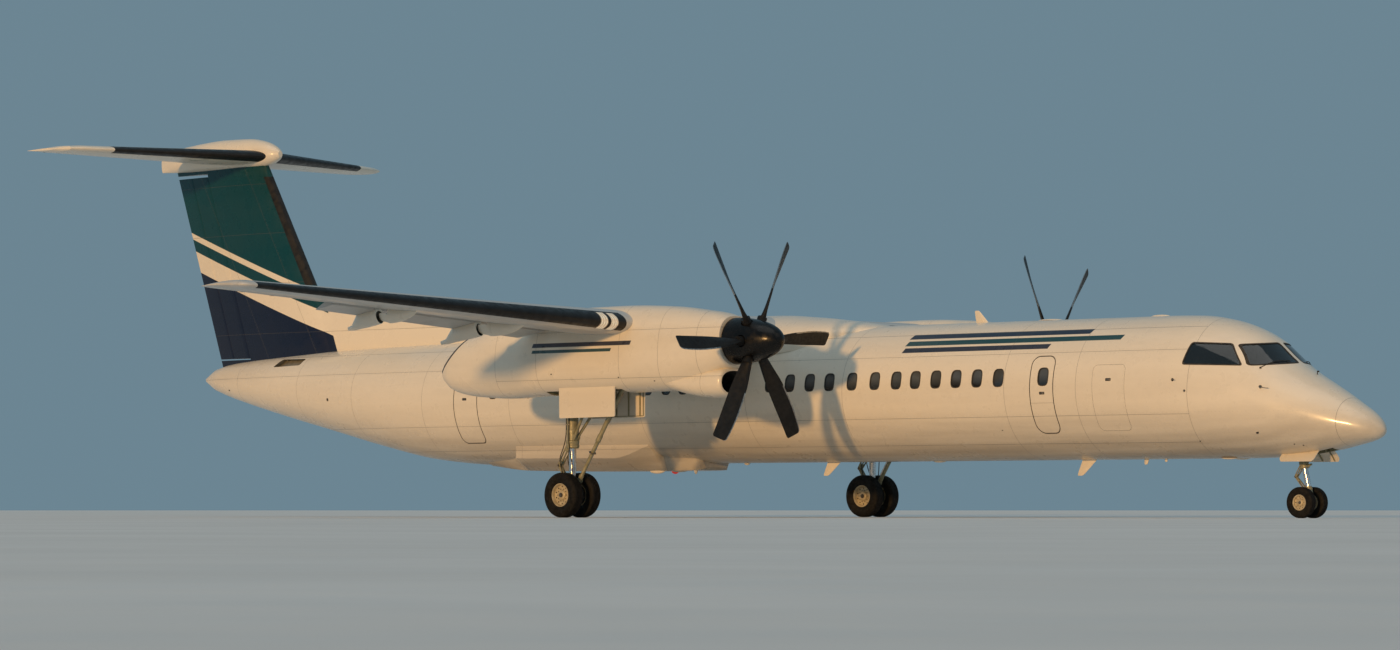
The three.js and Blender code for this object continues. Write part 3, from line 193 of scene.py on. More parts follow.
def rounded(outline, radius, steps=5):
    """The outline of a polygon with rounded corners."""
    points = [Vector(p) for p in outline]
    result = []
    for a, p, b in zip(points[-1:] + points[:-1], points, points[1:] + points[:1]):
        r = min(radius, (a - p).length * 0.45, (b - p).length * 0.45)
        start, end = p + (a - p).normalized() * r, p + (b - p).normalized() * r
        result += [tuple(bend(start, p, end, k / steps)) for k in range(steps + 1)]
    return result


def rectangle(x0, x1, z0, z1, radius):
    return rounded(corners(x0, x1, z0, z1), radius)


def offset(outline, distance):
    """An outline grown outwards."""
    after = outline[1:] + outline[:1]
    sign = 1 if sum(p[0] * q[1] - q[0] * p[1] for p, q in zip(outline, after)) > 0 else -1
    result = []
    for a, p, b in zip(outline[-1:] + outline[:-1], outline, after):
        a, p, b = Vector(a), Vector(p), Vector(b)
        if (p - a).length < 1e-9 or (b - p).length < 1e-9:
            result.append(tuple(p))
            continue
        n1, n2 = (Vector((e.y, -e.x)).normalized() for e in (p - a, b - p))
        m = (n1 + n2).normalized()
        result.append(tuple(p + m * sign * distance / max(0.3, m.dot(n1))))
    return result


def ring_prism(outer, inner, place, d0, d1, mat=0):
    """A prism with a hole: the space between two outlines with the same number of points."""
    lines = ((outer, d0), (outer, d1), (inner, d1), (inner, d0))
    return loft([[Vector(place(u, v, d)) for u, v in line] for line, d in lines], mat, loop=True)


def to_mesh(solid, name):
    mesh = bpy.data.meshes.new(name)
    mesh.from_pydata([tuple(p) for p in solid.v], [], solid.f)
    mesh.polygons.foreach_set("material_index", solid.m)
    mesh.validate()
    return mesh


SLOTS = 6


def carved(base, cutters, operation="DIFFERENCE"):
    """base with each cutter taken away, added or kept, as one solid."""
    blanks = [bpy.data.materials.get(f"blank_{i}") or bpy.data.materials.new(f"blank_{i}") for i in range(SLOTS)]
    objects = []
    for k, solid in enumerate([base] + list(cutters)):
        obj = bpy.data.objects.new(f"work_{k}", to_mesh(solid, f"work_{k}"))
        for blank in blanks:
            obj.data.materials.append(blank)
        bpy.context.scene.collection.objects.link(obj)
        objects.append(obj)
    for cutter in objects[1:]:
        modifier = objects[0].modifiers.new("cut", "BOOLEAN")
        modifier.operation, modifier.solver, modifier.object = operation, "MANIFOLD", cutter
    bpy.context.view_layer.update()
    cut = objects[0].evaluated_get(bpy.context.evaluated_depsgraph_get())
    mesh = cut.to_mesh()
    result = Solid([v.co for v in mesh.vertices], [list(p.vertices) for p in mesh.polygons],
                   [p.material_index for p in mesh.polygons])
    cut.to_mesh_clear()
    for obj in objects:
        mesh = obj.data
        bpy.data.objects.remove(obj)
        bpy.data.meshes.remove(mesh)
    return result


def piece(name, solid, materials, body="airframe", replaces=(), angle=32, bevel=0.0):
    """Makes a Blender object from a solid, riding on a body."""
    obj = bpy.data.objects.new(name, to_mesh(solid, name))
    for material in materials:
        obj.data.materials.append(material)
    bpy.context.scene.collection.objects.link(obj)
    obj.data.shade_smooth()
    obj.data.set_sharp_from_angle(angle=math.radians(angle))
    if bevel:
        modifier = obj.modifiers.new("edges", "BEVEL")
        modifier.width, modifier.segments = bevel, 2
        modifier.limit_method, modifier.angle_limit = "ANGLE", math.radians(40)
        modifier.harden_normals = True
    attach(obj, body)
    if replaces:
        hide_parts(*replaces)
    return obj


# Tables and smooth sections

def monotone(xs, ys, x):
    """Monotone cubic interpolation of one column."""
    xs, ys = np.asarray(xs, float), np.asarray(ys, float)
    h = np.diff(xs)
    d = np.diff(ys) / h
    m = np.zeros(len(xs))
    m[0], m[-1] = d[0], d[-1]
    for i in range(1, len(xs) - 1):
        if d[i - 1] * d[i] > 0:
            w1, w2 = 2 * h[i] + h[i - 1], h[i] + 2 * h[i - 1]
            m[i] = (w1 + w2) / (w1 / d[i - 1] + w2 / d[i])
    k = int(np.clip(np.searchsorted(xs, x) - 1, 0, len(h) - 1))
    t = (x - xs[k]) / h[k]
    return float(ys[k] * (1 + 2 * t) * (1 - t) ** 2 + m[k] * h[k] * t * (1 - t) ** 2
                 + ys[k + 1] * t * t * (3 - 2 * t) + m[k + 1] * h[k] * t * t * (t - 1))


def as_is(v):
    return v


def backwards(v):
    return -v


def row_at(table, x, key=backwards):
    keys = [key(row[0]) for row in table]
    return [x] + [monotone(keys, [row[c] for row in table], key(x)) for c in range(1, len(table[0]))]


def power(value, exponent):
    """A power that keeps the sign of the value."""
    return math.copysign(abs(value) ** exponent, value)


def oval(row, exponent=2.0, y=0.0, count=96, inset=0.0):
    """A ring across x from a row of x, top z, bottom z, half width and z of the widest line."""
    x, top, bottom, half, middle = row
    ring = []
    for angle in angles(count):
        c, s = math.cos(angle), math.sin(angle)
        reach = top - middle if s > 0 else middle - bottom
        ring.append(Vector((x, y + power(c, 2 / exponent) * (half - inset),
                            middle + power(s, 2 / exponent) * (reach - inset))))
    return ring


# Fuselage. Columns: x, top z, bottom z, half width, z of the widest line.
FUSELAGE = [
    (16.43, 1.55, 1.55, 0.0, 1.55), (16.415, 1.6, 1.5, 0.06, 1.55), (16.34, 1.72, 1.42, 0.185, 1.56),
    (16.15, 1.88, 1.35, 0.35, 1.6), (15.84, 2.07, 1.28, 0.505, 1.66), (15.55, 2.245, 1.22, 0.635, 1.72),
    (15.2, 2.44, 1.16, 0.765, 1.8), (14.8, 2.665, 1.11, 0.885, 1.89), (14.56, 2.835, 1.092, 0.96, 1.94),
    (14.3, 3.06, 1.082, 1.02, 1.99), (14.15, 3.185, 1.078, 1.05, 2.02), (13.75, 3.4, 1.072, 1.13, 2.1),
    (13.2, 3.57, 1.07, 1.215, 2.2), (12.6, 3.66, 1.07, 1.285, 2.29), (11.8, 3.68, 1.07, 1.33, 2.35),
    (11.0, 3.68, 1.07, 1.345, 2.375), (-4.2, 3.68, 1.07, 1.345, 2.375), (-5.6, 3.665, 1.08, 1.335, 2.38),
    (-7.2, 3.64, 1.19, 1.29, 2.43), (-8.8, 3.61, 1.47, 1.185, 2.55), (-10.4, 3.57, 1.815, 1.0, 2.7),
    (-11.9, 3.51, 2.135, 0.76, 2.83), (-13.2, 3.43, 2.43, 0.52, 2.93), (-14.1, 3.34, 2.66, 0.33, 3.0),
    (-14.68, 3.19, 2.86, 0.16, 3.02), (-14.85, 3.08, 2.97, 0.055, 3.025),
]


NOSE_TIP = 16.43


def nose_key(x):
    """A measure along the fuselage that spreads out the blunt nose."""
    return math.sqrt(max(0.0, NOSE_TIP - x))


def fuselage_row(x):
    return row_at(FUSELAGE, x, nose_key)


def skin_y(x, z, inset=0.0):
    """Half width of the fuselage at a place and height."""
    _, top, bottom, half, middle = fuselage_row(x)
    reach = top - middle if z > middle else middle - bottom
    return (half - inset) * math.sqrt(max(0.0, 1 - ((z - middle) / (reach - inset)) ** 2))


def fuselage_body(x0, x1, inset=0.0, steps=170, count=112):
    keys = np.linspace(nose_key(x0), nose_key(x1), steps)
    return loft([oval(fuselage_row(NOSE_TIP - k * k), count=count, inset=inset) for k in keys])


WINDOW_X = (
    -4.46, -3.94, -3.45, -2.46, -1.57, -0.61, -0.1, 0.4, 0.86, 1.59, 2.21, 3.15, 3.66, 4.17, 4.67, 5.24, 5.81, 6.34,
    6.81, 7.31, 7.8, 8.3, 8.81,
)
DOOR_WINDOW_X = 9.86
WINDOW_Z = 2.58
WINDOW_HALF = (0.118, 0.162)
FRONT_PANE = [(0.06, 3.125), (0.06, 2.765), (0.86, 2.71), (0.705, 3.09)]
SIDE_PANE = [(13.7, 3.105), (14.01, 2.715), (12.9, 2.75), (12.96, 3.14)]
AIRSTAIR = (9.45, 10.25, 1.53, 3.09)
# Doors drawn by their seals. Columns: side, rear x, front x, lower z, upper z, corner radius, width of the groove.
DOOR_SEALS = [
    (RIGHT, 9.56, 10.1, 1.55, 2.96, 0.16, 0.018), (RIGHT, 11.0, 11.72, 1.58, 2.77, 0.1, 0.004),
    (RIGHT, -5.62, -4.93, 1.52, 3.01, 0.12, 0.018), (LEFT, -5.66, -4.9, 1.52, 3.03, 0.14, 0.014),
    (LEFT, -8.35, -7.1, 1.78, 3.0, 0.12, 0.01),
]
# Small round ports in doors. Columns: side, x, z, radius.
PORTS = [(RIGHT, -5.2, 2.75, 0.055), (LEFT, -5.28, 2.7, 0.075)]
AIRSTAIR_PORT = (9.85, 2.72, 0.085)
AIR_OUTLET = [(-12.02, 3.24), (-11.06, 3.26), (-11.02, 3.4), (-11.9, 3.41)]


def on_flank(outline, side, lift):
    """An outline laid on the skin of one side, lifted from it."""
    return [Vector((x, side * (skin_y(x, z) + lift), z)) for x, z in outline]


def side_cut(outline, side, depth=0.012, reach=0.3, mat=1):
    """A pocket of even depth in the flank, with a floor that follows the skin."""
    return loft([on_flank(outline, side, -depth), on_flank(outline, side, reach)], mat)


def window_row(side):
    """The cabin windows of one side; the right side has one more, in the forward door."""
    return WINDOW_X + (DOOR_WINDOW_X,) if side == RIGHT else WINDOW_X


def window_outline(x, grow=0.0):
    a, b = WINDOW_HALF[0] + grow, WINDOW_HALF[1] + grow
    return [(x + power(math.cos(t), 0.62) * a, WINDOW_Z + power(math.sin(t), 0.62) * b) for t in angles(28)]


def circle(x, z, r):
    return [(x + r * math.cos(t), z + r * math.sin(t)) for t in angles(28)]


def seal_groove(side, x0, x1, z0, z1, radius, width, depth=0.012):
    """A narrow groove round a door, following the skin."""
    line = rounded_rect(x0, x1, z0, z1, radius)
    outer, inner = offset(line, width / 2), offset(line, -width / 2)
    lifts = ((outer, 0.05), (outer, -depth), (inner, -depth), (inner, 0.05))
    return loft([on_flank(outline, side, lift) for outline, lift in lifts], 1, loop=True)


def rounded_rect(x0, x1, z0, z1, r, per_side=12, per_corner=6):
    """A rectangle with round corners, with points along its sides for a line that follows the skin."""
    points = []
    centres = [((x1 - r, z0 + r), -90), ((x1 - r, z1 - r), 0), ((x0 + r, z1 - r), 90), ((x0 + r, z0 + r), 180)]
    for k, ((cx, cz), start) in enumerate(centres):
        for i in range(per_corner + 1):
            t = math.radians(start + 90 * i / per_corner)
            points.append((cx + r * math.cos(t), cz + r * math.sin(t)))
        (nx, nz), start = centres[(k + 1) % 4]
        a, t = Vector(points[-1]), math.radians(start)
        b = Vector((nx + r * math.cos(t), nz + r * math.sin(t)))
        points += [tuple(a.lerp(b, i / per_side)) for i in range(1, per_side)]
    return points


# Materials

class Shader:
    """A Principled material whose colour, roughness and relief come from nodes in the object's own coordinates."""

    def __init__(self, name, rough=0.5, metal=0.0, **sockets):
        self.material = bpy.data.materials.new(name)
        self.material.use_nodes = True
        self.tree = self.material.node_tree
        self.bsdf = self.tree.nodes["Principled BSDF"]
        for key, value in {"Roughness": rough, "Metallic": metal, **sockets}.items():
            self.bsdf.inputs[key.replace("_", " ")].default_value = value
        self.place = self.node("TexCoord").outputs["Object"]
        self.x, self.y, self.z = self.node("SeparateXYZ", self.place).outputs
        self.relief = None

    def node(self, kind, *values, **settings):
        """A new node with its settings, its first inputs fed with the values."""
        node = self.tree.nodes.new("ShaderNode" + kind)
        for key, value in settings.items():
            setattr(node, key, value)
        for socket, value in zip(node.inputs, values):
            self.feed(socket, value)
        return node

    def feed(self, socket, value):
        if isinstance(value, (int, float)):
            socket.default_value = value
        elif isinstance(value, tuple):
            socket.default_value = (*value, 1.0)
        else:
            self.tree.links.new(value, socket)

    def math(self, operation, a, b=0.0, clamp=False):
        return self.node("Math", a, b, 0.0, operation=operation, use_clamp=clamp).outputs[0]

    def add(self, a, b):
        return self.math("ADD", a, b)

    def minus(self, a, b):
        return self.math("SUBTRACT", a, b)

    def times(self, a, b):
        return self.math("MULTIPLY", a, b)

    def most(self, a, b):
        return self.math("MAXIMUM", a, b)

    def below(self, a, b):
        return self.math("LESS_THAN", a, b)

    def wave(self, a, height):
        return self.math("PINGPONG", a, height)

    def abs(self, a):
        return self.math("ABSOLUTE", a)

    def step(self, value, edge, blur=0.003):
        """0 below the edge, 1 above it, with a narrow soft change."""
        return self.math("DIVIDE", self.minus(value, edge - blur), 2 * blur, clamp=True)

    def near(self, value, places, width):
        """1 within a width of any of the places."""
        result = None
        for place in places:
            hit = self.below(self.abs(self.minus(value, place)), width)
            result = hit if result is None else self.most(result, hit)
        return result

    def every(self, value, pitch, width, shift=0.0):
        """1 near each multiple of a pitch."""
        return self.below(self.wave(self.add(value, shift), pitch / 2), width)

    def noise(self, scale, detail=4.0, stretch=None, low=0.35, high=0.65):
        vector = self.place
        if stretch:
            mapping = self.node("Mapping")
            mapping.inputs["Scale"].default_value = stretch
            self.feed(mapping.inputs["Vector"], self.place)
            vector = mapping.outputs[0]
        node = self.node("TexNoise")
        for key, value in (("Scale", scale), ("Detail", detail), ("Roughness", 0.55), ("Vector", vector)):
            self.feed(node.inputs[key], value)
        return self.ramp(node.outputs["Fac"], low, high)

    def ramp(self, value, low, high, start=0.0, end=1.0):
        return self.node("MapRange", value, low, high, start, end).outputs[0]

    def mix(self, factor, a, b):
        node = self.node("Mix", data_type="RGBA")
        for socket, value in zip((0, 6, 7), (factor, a, b)):
            self.feed(node.inputs[socket], value)
        return node.outputs[2]

    def color(self, value):
        self.feed(self.bsdf.inputs["Base Color"], value)

    def rough(self, scale, low, high, detail=5):
        """A cloudy roughness between two values."""
        self.feed(self.bsdf.inputs["Roughness"], self.ramp(self.noise(scale, detail), 0, 1, low, high))

    def bump(self, height, depth):
        node = self.node("Bump")
        node.inputs["Distance"].default_value = depth
        self.feed(node.inputs["Height"], height)
        if self.relief is not None:
            self.feed(node.inputs["Normal"], self.relief)
        self.relief = node.outputs[0]
        self.feed(self.bsdf.inputs["Normal"], self.relief)


def scaled(colour, factor):
    return tuple(c * factor for c in colour)


RIVET, SEAM = 0.006, 0.004  # half widths of rivet dots and sheet seams
WHITE = (0.78, 0.715, 0.6)
TEAL = (0.002, 0.048, 0.06)
NAVY = (0.006, 0.01, 0.034)
BAR_SLANT = 0.45


def paint(name, base=WHITE, seams=None, dirt=0.18, rough=0.3, streak=(0.12, 1.6, 1.6), belly_grime_and_shade=0.0, gloss=0.5):
    """Gloss paint on riveted sheet: cloudy dust, streaks along the airflow, seams, rivet rows and, where asked, a brown
    darkening towards the bottom that is partly dirt and partly painted shade.
    """
    s = Shader(name, rough, Coat_Weight=0.7 * gloss, Coat_Roughness=0.12, Specular_IOR_Level=gloss)
    base = base(s) if callable(base) else base
    dust = s.times(s.noise(1.1, 6, streak, low=0.42, high=0.75), dirt)
    colour = s.mix(dust, base, (0.34, 0.3, 0.24))
    colour = s.mix(s.times(s.noise(7.0, 5, low=0.5, high=0.8), dirt * 0.35), colour, (0.26, 0.24, 0.2))
    if belly_grime_and_shade:
        # Brown streaky darkening towards the bottom of the fuselage: partly belly dirt, partly painted shade of the
        # lower flank.
        low = s.times(s.ramp(s.z, 2.1, 1.1), s.ramp(s.noise(2.2, 6, streak), 0, 1, 0.6, 1.0))
        colour = s.mix(s.times(low, belly_grime_and_shade), colour, (0.105, 0.08, 0.054))
    s.bump(s.noise(1.7, 2, low=0.2, high=0.8), 0.0016)
    if seams:
        line, rivet = seams(s)
        colour = s.mix(s.times(line, 0.55), colour, (0.1, 0.095, 0.085))
        colour = s.mix(s.times(rivet, 0.22), colour, (0.2, 0.19, 0.17))
        s.bump(s.minus(1.0, s.most(line, s.times(rivet, 0.5))), 0.0015)
    s.color(colour)
    s.rough(3.0, rough - 0.05, rough + 0.12)
    return s.material


def rivets(s, a, b, pitch, rows):
    """Dots along rows: a runs along the row and b across it."""
    return s.times(s.below(s.wave(a, pitch / 2), RIVET), s.near(b, rows, RIVET))


def fuselage_seams(s):
    rings = s.near(s.x, (15.76, 13.05, 10.62, 8.95, 5.0, 2.5, -0.35, -4.0, -6.6, -8.9, -10.9, -13.3), SEAM)
    laps = s.times(s.near(s.z, (1.36, 1.86, 3.02, 3.44), SEAM), s.below(s.x, 13.05))
    door_split = s.times(s.near(s.z, (2.1,), 0.003), s.times(s.near(s.x, (9.83,), 0.26), s.below(s.y, 0.0)))
    line = s.most(s.most(rings, laps), door_split)
    along = rivets(s, s.x, s.z, 0.085, (1.33, 1.39, 1.89, 2.99, 3.05, 3.47))
    frames = s.times(s.every(s.x, 0.508, 0.005), s.below(s.wave(s.z, 0.04), RIVET))
    return line, s.most(along, s.times(frames, s.below(s.x, 12.9)))


def wing_seams(s):
    d = s.most(s.add(s.abs(s.y), -4.95), 0.0)
    depth = s.minus(s.add(s.times(d, -0.0443), 2.89), s.x)
    share = s.math("DIVIDE", depth, s.add(s.times(d, -0.1652), 2.75))
    spars = s.near(share, (0.16, 0.585), 0.0018)
    ribs = s.times(s.every(s.abs(s.y), 0.92, SEAM, 0.3), s.math("GREATER_THAN", share, 0.16))
    line = s.most(spars, ribs)
    return line, s.times(s.below(s.wave(s.y, 0.04), RIVET), s.near(share, (0.17, 0.36, 0.575), 0.0025))


def nacelle_seams(s):
    rings = s.near(s.x, (4.55, 3.62, 2.62, 0.42, -0.72), SEAM)
    sides = s.times(s.near(s.z, (2.62, 3.52), SEAM), s.math("GREATER_THAN", s.x, -0.72))
    return s.most(rings, sides), rivets(s, s.x, s.z, 0.07, (2.59, 3.55))


def tail_seams(s):
    run = s.minus(s.x, s.times(s.z, -0.5884))
    line = s.most(s.near(run, (-8.95, -10.55), SEAM), s.every(s.z, 1.1, SEAM, 0.4))
    return line, rivets(s, s.z, run, 0.07, (-8.92, -10.58))


def tail_colours(s):
    """Teal over navy, parted by two slanted white bands of even width."""
    height = s.add(s.z, s.times(s.x, 0.34))
    colour = NAVY
    for edge, tint in ((0.3, WHITE), (0.72, TEAL), (0.96, WHITE), (1.09, TEAL)):
        colour = s.mix(s.step(height, edge), colour, tint)
    foot = s.add(s.x, s.times(s.z, 0.436))
    return s.mix(s.step(foot, -8.89), colour, WHITE)


def bars(s, colour, rows):
    """Long stripes with slanted ends. Columns of rows: lower z, upper z, rear x, front x, colour."""
    for low, high, rear, front, tint in rows:
        run = s.minus(s.x, s.times(s.add(s.z, -low), BAR_SLANT))
        mask = s.times(s.times(s.step(s.z, low), s.minus(1.0, s.step(s.z, high))),
                       s.times(s.step(run, rear), s.minus(1.0, s.step(run, front))))
        colour = s.mix(mask, colour, tint)
    return colour


def fuselage_colours(s):
    rows = ((3.36, 3.45, 6.3, 10.6, NAVY), (3.23, 3.32, 6.3, 11.4, TEAL), (3.1, 3.19, 6.3, 9.8, NAVY))
    return bars(s, WHITE, rows)


def nacelle_colours(s):
    """Two stripes, and soot along the rim of the slanted exhaust."""
    colour = bars(s, WHITE, ((3.24, 3.32, 0.3, 2.9, NAVY), (3.13, 3.19, 0.3, 2.4, TEAL)))
    inward = s.minus(s.times(s.add(s.x, 1.67), 0.697), s.times(s.add(s.z, -3.56), 0.717))
    return s.mix(s.minus(1.0, s.step(inward, 0.04)), colour, (0.035, 0.03, 0.026))


def rubber_boot():
    s = Shader("boot_rubber", 0.45, Specular_IOR_Level=0.32)
    s.color(s.mix(s.noise(6, 5), (0.0045, 0.005, 0.006), (0.012, 0.0125, 0.014)))
    s.rough(9, 0.3, 0.55)
    s.bump(s.noise(30, 3), 0.0006)
    return s.material


def metal(name, base, worn, rough=0.4, metallic=0.8, grain=14, depth=0.0006):
    s = Shader(name, rough, metallic, Specular_IOR_Level=0.5 if metallic else 0.28)
    colour = s.mix(s.noise(grain, 6), base, worn)
    s.color(s.mix(s.times(s.noise(grain * 0.35, 5, low=0.5, high=0.75), 0.6), colour, scaled(base, 0.45)))
    s.rough(grain * 1.7, rough - 0.1, rough + 0.18)
    s.bump(s.noise(grain * 4, 3), depth)
    return s.material


def tyre_rubber():
    s = Shader("tyre_rubber_worn", 0.75, Specular_IOR_Level=0.2)
    colour = s.mix(s.noise(14, 6), (0.004, 0.004, 0.0042), (0.011, 0.0105, 0.01))
    s.color(s.mix(s.times(s.noise(4, 5, low=0.45, high=0.8), 0.3), colour, (0.028, 0.025, 0.02)))
    s.rough(20, 0.55, 0.9, 4)
    s.bump(s.noise(70, 3), 0.0012)
    return s.material


def glass(name, tint, rough=0.04, transmission=0.0, shade=()):
    """Tinted glass; shade gives two heights between which a painted shade darkens it downwards."""
    s = Shader(name, rough, Transmission_Weight=transmission, IOR=1.5, Specular_IOR_Level=0.6, Coat_Weight=0.4)
    colour = s.mix(s.noise(1.3, 3), tint, tuple(c * 1.5 + 0.004 for c in tint))
    # Painted shade: the glass goes darker towards the bottom of each pane.
    if shade:
        colour = s.mix(s.ramp(s.z, *shade), scaled(tint, 0.25), colour)
    s.color(colour)
    s.rough(5, rough, rough + 0.05, 4)
    return s.material


def lamp(name, tint, strength, ribs=0.0):
    """A lens that glows a little; ribs is the pitch of the dark lines across it."""
    s = Shader(name, 0.12, Coat_Weight=0.6, Emission_Color=(*tint, 1), Emission_Strength=strength)
    colour = s.mix(s.noise(40, 2), tint, scaled(tint, 0.7))
    if ribs:
        line, edge = (tuple(c * k for c, k in zip(tint, shade)) for shade in ((0.3, 0.14, 0.05), (0.8, 0.5, 0.25)))
        colour = s.mix(s.every(s.y, ribs, ribs * 0.09, ribs * 0.3), colour, line)
        colour = s.mix(s.ramp(s.wave(s.z, 0.055), 0.0, 0.055, 0.0, 0.5), colour, edge)
    s.color(colour)
    return s.material


# The fuselage paint darkens towards the belly: partly dirt, partly painted shade.
BODY_PAINT = paint("white_paint_fuselage", fuselage_colours, seams=fuselage_seams, belly_grime_and_shade=0.55)
CHORDWISE = (1.6, 0.4, 1.6)  # stretch of the streaks on the wing
WING_PAINT = paint("white_paint_wing", (0.56, 0.55, 0.52), wing_seams, 0.32, 0.36, CHORDWISE)
PLAIN_PAINT = paint("white_paint_plain", dirt=0.14)
NACELLE_PAINT = paint("white_paint_nacelle", nacelle_colours, seams=nacelle_seams, dirt=0.2)
FLAP_PAINT = paint("grey_paint_flap", (0.47, 0.46, 0.44), wing_seams, 0.4, 0.4, CHORDWISE)
TAIL_PAINT = paint("teal_paint_tail", tail_colours, seams=tail_seams, dirt=0.012, rough=0.26, gloss=0.3)
BOOT = rubber_boot()
SEAL = metal("seal_rubber", (0.03, 0.028, 0.026), (0.06, 0.056, 0.05), 0.7, 0.0)
COVE = metal("cove_primer", (0.17, 0.165, 0.14), (0.27, 0.26, 0.22), 0.6, 0.1, 8)
# Near-black painted shade on the walls of the intake ducts and of the cooling holes in the rims.
CAVITY_SHADE = metal("painted_cavity_shade", (0.018, 0.018, 0.019), (0.045, 0.043, 0.04), 0.7, 0.1, 8)
BAY = metal("bay_primer", (0.2, 0.19, 0.11), (0.3, 0.285, 0.18), 0.6, 0.05, 9)
STEEL = metal("heat_stained_steel", (0.2, 0.17, 0.14), (0.42, 0.36, 0.3), 0.35, 0.95, 10)
CHROME = metal("polished_strut", (0.7, 0.7, 0.71), (0.8, 0.8, 0.8), 0.14, 1.0, 20, 0.0001)
GEAR = metal("gear_enamel", (0.24, 0.225, 0.135), (0.34, 0.32, 0.21), 0.42, 0.15, 11)
RIM = metal("rim_enamel", (0.46, 0.385, 0.245), (0.58, 0.5, 0.34), 0.42, 0.2, 12)
BRAKE = metal("brake_steel", (0.1, 0.095, 0.09), (0.22, 0.2, 0.18), 0.5, 0.8, 16)
HOSE = metal("hose_rubber", (0.014, 0.014, 0.015), (0.04, 0.04, 0.04), 0.6, 0.0, 20)
SPINNER = metal("spinner_black", (0.0018, 0.0018, 0.0021), (0.0045, 0.0042, 0.004), 0.26, 0.0, 6, 0.0003)
BLADE = metal("blade_composite", (0.0045, 0.0046, 0.005), (0.012, 0.0115, 0.011), 0.42, 0.0, 12)
BLADE_EDGE = metal("blade_nickel_edge", (0.3, 0.3, 0.3), (0.46, 0.45, 0.43), 0.3, 1.0, 16)
TYRE = tyre_rubber()
# Cabin glass with painted shade darkening the lower part of each pane.
WINDOW_GLASS = glass("cabin_glass", (0.06, 0.066, 0.07), shade=(2.44, 2.62))
DECK_GLASS = glass("windshield_glass", (0.05, 0.06, 0.066), 0.02, 0.9)
WARM_LAMP = lamp("landing_lamp_lens", (0.95, 0.86, 0.66), 0.22, ribs=0.058)
CLEAR_LENS = lamp("clear_lens", (0.8, 0.82, 0.82), 0.15)
RED_LENS = lamp("red_lens", (0.6, 0.03, 0.02), 0.5)
TREAD_METAL = metal("tread_metal", (0.36, 0.36, 0.36), (0.5, 0.5, 0.49), 0.4, 0.7, 18)
GRIP = metal("grip_strip", (0.02, 0.02, 0.02), (0.06, 0.06, 0.055), 0.8, 0.0, 40, 0.002)
TRIM = metal("cabin_trim", (0.42, 0.41, 0.38), (0.5, 0.49, 0.46), 0.5, 0.0, 6)
SEAT_CLOTH = metal("seat_cloth", (0.035, 0.04, 0.055), (0.065, 0.07, 0.085), 0.85, 0.0, 60, 0.0015)
PANEL_PLASTIC = metal("panel_plastic", (0.03, 0.03, 0.032), (0.06, 0.06, 0.062), 0.55, 0.0, 25)
SCREEN = metal("panel_screen", (0.006, 0.01, 0.016), (0.012, 0.02, 0.03), 0.12, 0.0, 8, 0.0001)


# Fuselage

def flank_prism(outline, side, y0, y1, mat=0):
    return prism(outline, along_y, side * y0, side * y1, mat)


def build_fuselage():
    cavity = fuselage_body(14.9, 11.9, 0.06, 40, 64).painted(2)
    cutters = [carved(cavity, [box(11.85, 14.95, -1.5, 1.5, 1.62, 3.8, 2)], "INTERSECT"),
               prism(rectangle(14.33, 15.48, 1.0, 1.55, 0.02), along_y, -0.23, 0.23, 3)]
    front, side_pane = rounded(FRONT_PANE, 0.05), rounded(SIDE_PANE, 0.06)
    for _, side in SIDES:
        cutters.append(prism([(side * y, z) for y, z in front], along_x, 13.5, 15.0, 2))
        cutters.append(flank_prism(side_pane, side, 0.3, 1.5, 2))
    cutters.append(flank_prism(rounded_rect(*AIRSTAIR, 0.1), LEFT, 0.25, 1.6, 2))
    cutters += [seal_groove(*row) for row in DOOR_SEALS]
    pockets = [side_cut(window_outline(x), side, 0.045, 0.12, 2) for _, side in SIDES for x in window_row(side)]
    pockets += [side_cut(circle(x, z, radius), side, 0.03, 0.12, 2) for side, x, z, radius in PORTS]
    cutters.append(joined(pockets))
    cutters += [side_cut(rounded(AIR_OUTLET, 0.03), side, 0.16, 0.3, 2) for _, side in SIDES]
    skin = carved(fuselage_body(NOSE_TIP, -14.85), cutters)
    sections = ["radome", "nose_section", "forward_fuselage", "centre_fuselage", "aft_fuselage", "tail_cone"]
    piece("fuselage_skin", skin, [BODY_PAINT, SEAL, COVE, BAY], replaces=sections)


def curved_plate(outline, side, lift, thickness):
    """A plate that follows the flank between two lifts from the skin."""
    return loft([on_flank(outline, side, h) for h in (lift - thickness, lift)])


def build_windows():
    glazing, frames = [], []
    for _, side in SIDES:
        for x in window_row(side):
            glazing.append(curved_plate(window_outline(x, -0.001), side, -0.012, 0.006))
            lines = ((0.009, 0.0022), (-0.01, 0.0005), (-0.01, -0.01), (0.009, -0.01))
            frames.append(loft([on_flank(window_outline(x, grow), side, lift) for grow, lift in lines], loop=True))
        glazing += [curved_plate(circle(x, z, radius - 0.001), side, -0.008, 0.006)
                    for port_side, x, z, radius in PORTS if port_side == side]
    piece("cabin_window_panes", joined(glazing), [WINDOW_GLASS])
    piece("cabin_window_frames", joined(frames), [SEAL])


def deck_shell(outer, inner):
    """The skin round the flight deck between two insets."""
    return carved(fuselage_body(15.0, 12.6, outer, 60), [fuselage_body(15.01, 12.59, inner, 60)])


